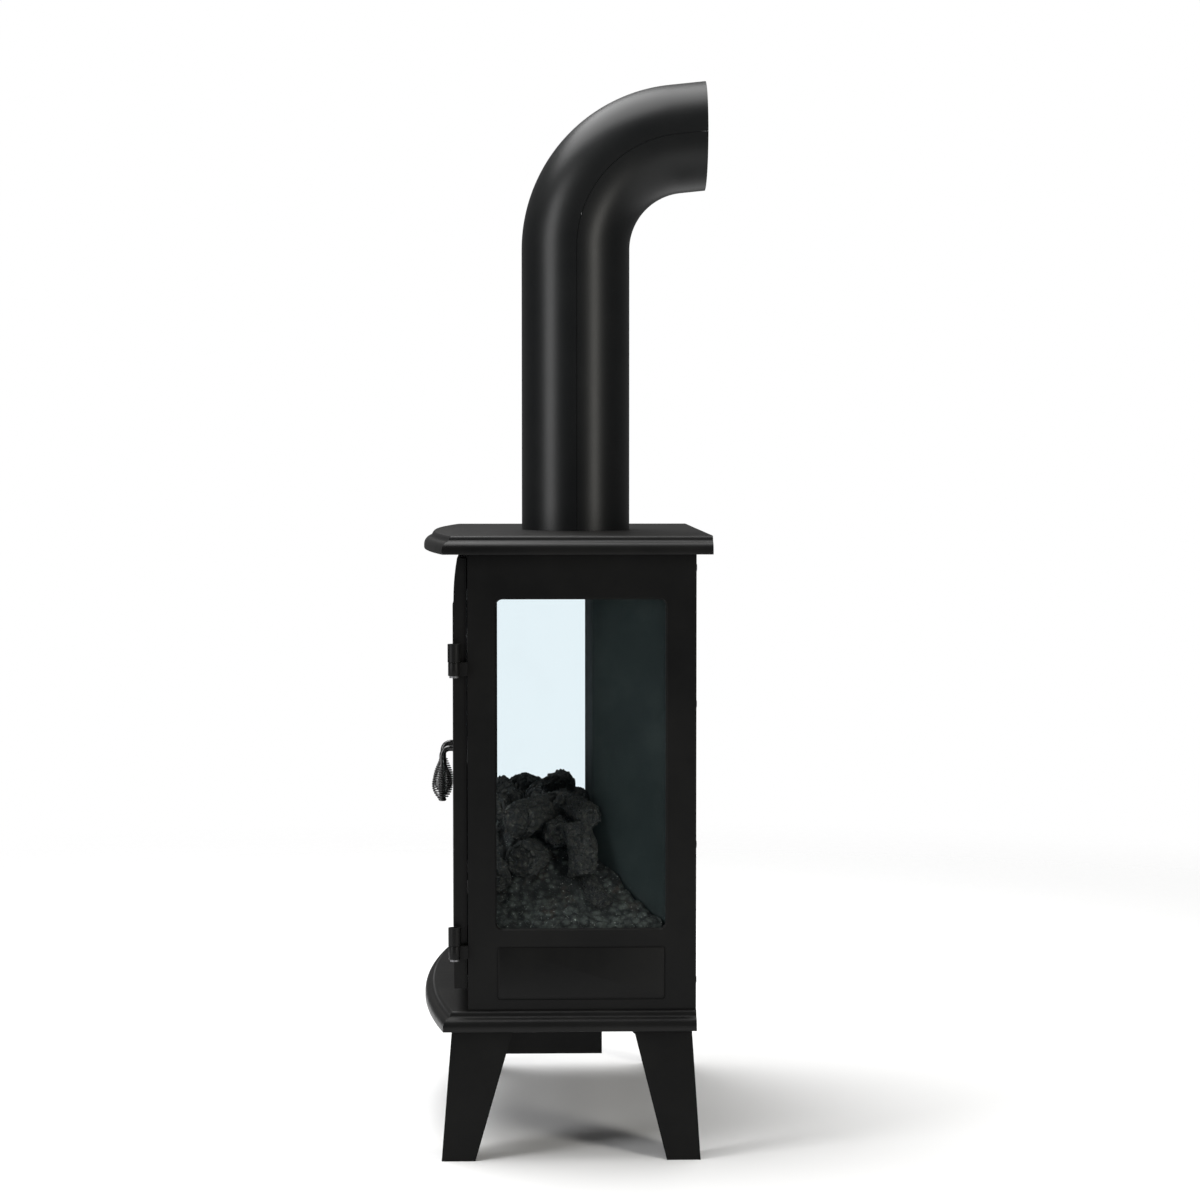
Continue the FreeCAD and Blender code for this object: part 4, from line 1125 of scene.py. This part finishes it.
@dataclass
class ReliefInsert:
    """Pressed plaque that lies in a side panel's shallow recess, with a dark gap round it."""

    side: str
    palette: Palette
    gap: float = 1.4 * MM
    corner: float = 3 * MM
    corner_steps: int = 6
    thick: float = 0.8 * MM
    recess: float = 1.2 * MM
    recess_foot: float = 156 * MM
    recess_head: float = 209 * MM
    glass_cover: float = 9 * MM
    seat: float = 0.02 * MM

    def ring(self, inset: float, x: float) -> Ring:
        """Rounded rectangle in an upright plane.

        Args:
            inset: distance in from the plaque's edge.
            x: the plane.

        Returns:
            Closed ring of points.
        """
        low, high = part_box(f"side_glass_{self.side}")
        around = self.glass_cover + self.gap
        near, far = low.y + around + self.corner, high.y - around - self.corner
        foot, head = self.recess_foot + self.gap + self.corner, self.recess_head - self.gap - self.corner
        reach = self.corner - inset
        points: Ring = []
        for quarter, (y, z) in enumerate(((far, head), (near, head), (near, foot), (far, foot))):
            for step in range(self.corner_steps + 1):
                turn = math.pi / 2 * (quarter + step / self.corner_steps)
                points.append((x, y + reach * math.cos(turn), z + reach * math.sin(turn)))
        return points

    def build(self) -> None:
        """Builds the plaque with a rolled edge."""
        sign = SIDES[self.side]
        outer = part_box(f"side_panel_{self.side}")[sign > 0].x
        seat = outer - sign * (self.recess - self.seat)
        face = seat + sign * self.thick
        roll = self.thick * 0.7
        levels = (
            (0.0, seat), (0.0, face - sign * roll), (roll * 0.3, face - sign * roll * 0.3), (roll, face),
        )
        rings = [self.ring(inset, x) for inset, x in levels]
        piece = Shaper.piece(f"relief_plaque_{self.side}", *Shaper.loft(rings))
        self.palette.fit(piece, Finish.CASING, Slot.BLACK, "casing")


@dataclass
class FuelBed:
    """Moulded fuel bed: a clinkered mound and charred logs with ridged bark and ringed ends."""

    palette: Palette
    rows: int = 90
    columns: int = 240
    back: float = 23 * MM
    back_gap: float = 0.4 * MM
    flat_half: float = 140 * MM
    crest_half: float = 118 * MM
    slope_run: float = 94 * MM
    slope_drop: float = 0.9
    front_run: float = 30 * MM
    front_share: float = 0.45
    least: float = 4 * MM
    lump: float = 8 * MM
    coal: float = 11 * MM
    grit: float = 1.8 * MM
    log_bend: float = 4 * MM
    log_steps: int = 110
    log_sides: int = 90
    # each log's two ends and middle radius, in millimetres, then the seed of its bark
    logs: list[tuple[Point, Point, float, int]] = field(default_factory=lambda: [
        ((122, -2, 328), (-122, -4, 330), 17, 4),
        ((38, -58, 331), (-148, -34, 320), 18, 5),
        ((52, -30, 336), (-36, -2, 334), 13, 7),
        ((150, -50, 322), (38, 10, 320), 19, 1),
        ((176, -48, 287), (84, 2, 292), 18, 2),
        ((170, 14, 272), (158, 6, 320), 15, 3),
        ((163, 22, 328), (66, -14, 330), 13, 11),
        ((92, -74, 300), (184, -68, 266), 12, 9),
        ((154, -10, 311), (60, -4, 318), 15, 10),
        ((64, -72, 325), (-96, -64, 327), 16, 14),
        ((66, 14, 323), (-74, 13, 321), 11, 15),
        ((196, 34, 246), (146, 16, 276), 11, 12),
        ((-66, -56, 304), (-178, -20, 286), 18, 6),
        ((-92, -6, 314), (-172, 16, 290), 17, 8),
        ((-150, -62, 268), (-194, 20, 258), 12, 13),
    ])

    def mound(self, x: float, y: float, base: float, top: float, front: float) -> float:
        """Height of the bed.

        Args:
            x: place.
            y: place.
            base: floor level.
            top: crest level.
            front: the bed's front edge.

        Returns:
            The level of the bed's skin.
        """
        side = min(max((abs(x) - self.crest_half) / self.slope_run, 0.0), 1.0)
        fall = 1 - self.slope_drop * (side * side * (3 - 2 * side) * 0.35 + side * 0.65)
        near = min(max((y - front) / self.front_run, 0.0), 1.0)
        shape = (top - base) * fall * (self.front_share + (1 - self.front_share) * near)
        lump = noise.fractal(Vector((x * 26, y * 26, 3.1)), 1.0, 2.1, 3) * self.lump
        nearest = noise.voronoi(Vector((x * 78 + lump * 60, y * 78, 7.7)))[0]
        coal = self.coal * min(nearest[1] - nearest[0], 0.5)
        grit = noise.noise(Vector((x * 300, y * 300, 1.3))) * self.grit
        return base + max(shape + (lump + coal + grit) * (0.5 + 0.5 * fall), self.least)

    def rear_line(self, x: float, low_back: float, half: float) -> float:
        """Rear edge of the bed, along the screen and then along the slanted reveals.

        Args:
            x: place.
            low_back: rear edge at the glass.
            half: half of the bed's width.

        Returns:
            The rear edge's y.
        """
        beyond = max(abs(x) - self.flat_half, 0.0)
        return self.back + beyond * (low_back - self.back) / (half - self.flat_half)

    def build_bed(self) -> None:
        """Builds the mound as a closed solid."""
        low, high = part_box("ember_bed")
        points: list[Point] = []
        for row in range(self.rows + 1):
            for column in range(self.columns + 1):
                x = low.x + (high.x - low.x) * column / self.columns
                rear = self.rear_line(x, high.y, high.x) - self.back_gap
                y = low.y + (rear - low.y) * row / self.rows
                points.append((x, y, self.mound(x, y, low.z, high.z, low.y)))
        wide = self.columns + 1
        faces = []
        for row in range(self.rows):
            for column in range(self.columns):
                corner = row * wide + column
                faces.append([corner, corner + 1, corner + wide + 1, corner + wide])
        rim = list(range(wide))
        rim += [row * wide + self.columns for row in range(1, self.rows + 1)]
        rim += [self.rows * wide + column for column in range(self.columns - 1, -1, -1)]
        rim += [row * wide for row in range(self.rows - 1, 0, -1)]
        first = len(points)
        points += [(points[index][0], points[index][1], low.z) for index in rim]
        for step, index in enumerate(rim):
            after = (step + 1) % len(rim)
            faces.append([index, first + step, first + after, rim[after]])
        faces.append([first + step for step in range(len(rim) - 1, -1, -1)])
        piece = Shaper.piece("ember_mound", points, faces, crease=80.0)
        self.palette.fit(piece, Finish.EMBERS, Slot.EMBER, "casing", ["ember_bed"])

    def build_log(self, number: int, near: Point, far: Point, radius: float, seed: int) -> bpy.types.Object:
        """One log: bent a little, tapered, with lengthwise ridges, knots and a ringed cut at each end.

        Args:
            number: which log.
            near: centre of its near end, in millimetres.
            far: centre of its far end, in millimetres.
            radius: middle radius, in millimetres.
            seed: shifts its pattern.

        Returns:
            The new object.
        """
        start, end = Vector(near) * MM, Vector(far) * MM
        along = (end - start).normalized()
        side = along.cross(Vector((0, 0, 1))).normalized()
        up = side.cross(along)
        bow = self.log_bend * (1 if seed % 2 else -1)
        rings: list[Ring] = []
        for step in range(self.log_steps + 1):
            share = step / self.log_steps
            bend = math.sin(share * math.pi) * bow
            centre = start.lerp(end, share) + up * bend + side * bend * 0.6
            ring = []
            for turn in Shaper.circle(self.log_sides):
                spoke = side * math.cos(turn) + up * math.sin(turn)
                ring.append(tuple(centre + spoke * self.bark_radius(share, turn, radius, seed)))
            rings.append(ring)
        near_face, far_face = self.cut_end(rings[0], -along, seed), self.cut_end(rings[-1], along, seed + 50)
        rings = near_face + rings + far_face[::-1]
        return Shaper.piece(f"fuel_log_{number}", *Shaper.loft(rings), crease=60.0)

    @staticmethod
    def bark_radius(share: float, turn: float, radius: float, seed: int) -> float:
        """Radius of a log's skin.

        Args:
            share: place along the log, 0 to 1.
            turn: angle round it.
            radius: middle radius, in millimetres.
            seed: shifts the pattern.

        Returns:
            The radius, in metres.
        """
        c, s = math.cos(turn), math.sin(turn)
        plates = noise.voronoi(Vector((c * 1.9 + seed * 7, s * 1.9, share * 6.5)))[0]
        furrow = -0.11 * max(1 - (plates[1] - plates[0]) / 0.16, 0.0)
        broad = noise.fractal(Vector((c * 1.1 + seed, s * 1.1, share * 2.5)), 1.0, 2.0, 2) * 0.13
        ridges = 1 - abs(noise.noise(Vector((c * 4.2 + seed * 3, s * 4.2, share * 3.4)))) * 2
        crack = -max(noise.noise(Vector((c * 2.6, s * 2.6 + seed * 5, share * 9.0))) - 0.22, 0.0) * 0.28
        fine = noise.fractal(Vector((c * 6 + seed, s * 6, share * 16)), 0.8, 2.2, 3) * 0.045
        lip = 1 - 0.1 * max(1 - min(share, 1 - share) / 0.03, 0.0) ** 2
        return radius * MM * (0.95 + broad + ridges * 0.075 + furrow + crack + fine) * lip

    @staticmethod
    def cut_end(rim: Ring, outward: Vector, seed: int) -> list[Ring]:
        """Rings that close a log's end with a rough, ringed face.

        Args:
            rim: the log's last ring.
            outward: direction out of the log.
            seed: shifts the pattern.

        Returns:
            Rings from the middle out to the rim.
        """
        centre = sum((Vector(point) for point in rim), Vector()) / len(rim)
        rings = []
        for share in (0.04, 0.16, 0.28, 0.4, 0.52, 0.64, 0.76, 0.87, 0.95):
            wave = 0.0007 * math.sin(share * 34)
            ring = []
            for point in rim:
                spot = centre.lerp(Vector(point), share)
                rough = noise.noise(spot * 160 + Vector((seed, 0, 0))) * 0.0012
                ring.append(tuple(spot + outward * (wave + rough + 0.0008)))
            rings.append(ring)
        return rings

    def build(self) -> None:
        """Builds the bed and all its logs."""
        self.build_bed()
        nodes = ("log_rear", "log_front", "log_cross")
        for number, (near, far, radius, seed) in enumerate(self.logs, start=1):
            piece = self.build_log(number, near, far, radius, seed)
            self.palette.fit(piece, Finish.BARK, Slot.LOG, "casing", nodes[number - 1:number])


@dataclass
class CarriedOver:
    """CAD nodes that show as they are, with softened edges and their own finishes."""

    frame: dict[str, Any]
    palette: Palette
    edge: float = 0.5 * MM
    edge_turn: float = math.radians(50)
    weld: float = 0.01 * MM
    softened: tuple[str, ...] = ("leg_front", "leg_rear", "heater_box", "hinge_lugs")

    @staticmethod
    def finishes() -> dict[Finish, tuple[str, ...]]:
        """Pairs finishes with nodes.

        Returns:
            The starts of the node names that get each finish; the first that fits counts.
        """
        return {
            Finish.GLASS: ("side_glass_right", "side_glass_left", "door_glass_right", "door_glass_left"),
            Finish.INSIDE: ("reveal_", "firebox_"),
            Finish.SCREEN: ("flame_screen",),
            Finish.BRIGHT: ("flame_spindle", "back_reflector"),
            Finish.STEEL: (
                "spindle_", "fan_", "side_glass_clips", "door_glass_clips", "latch_cam", "pipe_spigot",
            ),
            Finish.ZINC: ("leg_bolts", "casing_screws", "heating_element", "hinge_pins"),
            Finish.PLASTIC: ("control_panel", "rocker_", "dimmer_knob", "cable_gland", "magnet_catches"),
            Finish.BOARD: ("led_strip", "control_board"),
            Finish.ROD: ("handle_",),
        }

    def finish_of(self, node: str) -> Finish:
        """The finish of one node.

        Args:
            node: the node's name.

        Returns:
            Its finish; plain casing coat when nothing else is named.
        """
        for finish, starts in self.finishes().items():
            if node.startswith(starts):
                return finish
        return Finish.CASING

    def soften(self, piece: bpy.types.Object) -> None:
        """Rounds a node's sharp edges with modifiers.

        Args:
            piece: the node's object.
        """
        weld = piece.modifiers.new("weld", "WELD")
        weld.merge_threshold = self.weld
        bevel = piece.modifiers.new("soft_edges", "BEVEL")
        bevel.width = self.edge
        bevel.segments = 2
        bevel.limit_method = "ANGLE"
        bevel.angle_limit = self.edge_turn
        bevel.harden_normals = True

    def build(self) -> None:
        """Dresses every CAD node."""
        for name, piece in self.frame["nodes"].items():
            self.palette.dress(piece, self.finish_of(name))
            if name.startswith(self.softened):
                self.soften(piece)
        LOG.info("%d CAD nodes dressed", len(self.frame["nodes"]))


# ---------------------------------------------------------------- stage


@dataclass(frozen=True)
class SoftLight:
    """One soft rectangular light of the studio."""

    name: str
    place: Point
    aim: Point
    size: Pair
    watts: float
    tint: Colour = (1.0, 1.0, 1.0)

    def hang(self) -> None:
        """Adds the light to the scene."""
        data = bpy.data.lights.new(self.name, "AREA")
        data.shape = "RECTANGLE"
        data.size, data.size_y = self.size
        data.energy = self.watts
        data.color = self.tint
        lamp = bpy.data.objects.new(self.name, data)
        bpy.context.scene.collection.objects.link(lamp)
        lamp.location = self.place
        lamp.rotation_euler = Studio.facing(self.place, self.aim)


@dataclass
class Studio:
    """Pale floor, soft lights and the camera off the stove's right-hand side."""

    palette: Palette
    eye: Point = (3.213, -0.064, 0.699)
    aim: Point = (0.0, 0.037, 0.536)
    lens: float = 92.4
    sensor: float = 36.0
    farthest: float = 60.0
    ambience: float = 0.14
    floor_radius: float = 2.6
    floor_sides: int = 96
    lights: tuple[SoftLight, ...] = (
        SoftLight("strip_front", (1.75, -2.7, 1.2), (0.0, 0.0, 0.6), (1.1, 2.6), 64.0),
        SoftLight("strip_back", (2.3, 1.9, 1.3), (0.0, 0.0, 0.6), (0.6, 2.6), 46.0, (1.0, 0.98, 0.92)),
        SoftLight("top_soft", (-0.5, -0.7, 3.3), (0.0, 0.0, 0.3), (3.0, 3.0), 165.0),
    )

    @staticmethod
    def facing(place: Point, aim: Point) -> Any:
        """The rotation that points a camera or a light at a spot."""
        return (Vector(aim) - Vector(place)).to_track_quat("-Z", "Y").to_euler()

    def floor(self) -> None:
        """Builds the round floor that the stove stands on."""
        turns, radius = Shaper.circle(self.floor_sides), self.floor_radius
        points = [(radius * math.cos(turn), radius * math.sin(turn), 0.0) for turn in turns]
        disc = Shaper.piece("studio_floor", points, [range(self.floor_sides)])
        self.palette.dress(disc, Finish.PAPER)

    def air(self) -> None:
        """Makes the world: white behind the stove, dim to everything that it lights or is mirrored in."""
        world = bpy.data.worlds.new("studio_air")
        world.use_nodes = True
        tree = world.node_tree
        sight = tree.nodes.new("ShaderNodeLightPath").outputs["Is Camera Ray"]
        level = tree.nodes.new("ShaderNodeMapRange")
        level.inputs["To Min"].default_value = self.ambience
        tree.links.new(sight, level.inputs["Value"])
        tree.links.new(level.outputs["Result"], tree.nodes["Background"].inputs["Strength"])
        tree.nodes["Background"].inputs["Color"].default_value = (1.0, 1.0, 1.0, 1.0)
        bpy.context.scene.world = world

    def camera(self) -> None:
        """Sets up the camera."""
        data = bpy.data.cameras.new("view")
        data.lens = self.lens
        data.sensor_width = self.sensor
        data.clip_end = self.farthest
        camera = bpy.data.objects.new("view", data)
        bpy.context.scene.collection.objects.link(camera)
        camera.location = self.eye
        camera.rotation_euler = self.facing(self.eye, self.aim)
        bpy.context.scene.camera = camera

    def build(self) -> None:
        """Builds the stage, the lights and the camera."""
        self.floor()
        self.air()
        for light in self.lights:
            light.hang()
        bpy.context.scene.view_settings.view_transform = "Standard"
        self.camera()
        LOG.info("studio ready with %d lights", len(self.lights))


def main() -> None:
    """Builds every sub-assembly in order."""
    logging.basicConfig(level=logging.INFO, format="%(name)s: %(message)s")
    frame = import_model()
    palette = Palette()
    Studio(palette).build()
    CarriedOver(frame, palette).build()
    MouldedPlate("top_plate", Finish.PLATE, palette).build()
    MouldedPlate("base_plate", Finish.PLATE, palette).build()
    FluePipe(palette).build()
    Hinges(palette).build()
    for side in SIDES:
        SpringHandle(side, palette).build()
        Bead(side, palette).build()
        ReliefInsert(side, palette).build()
        LegGusset(side, palette).build()
    FuelBed(palette).build()


if __name__ == "__main__":
    main()
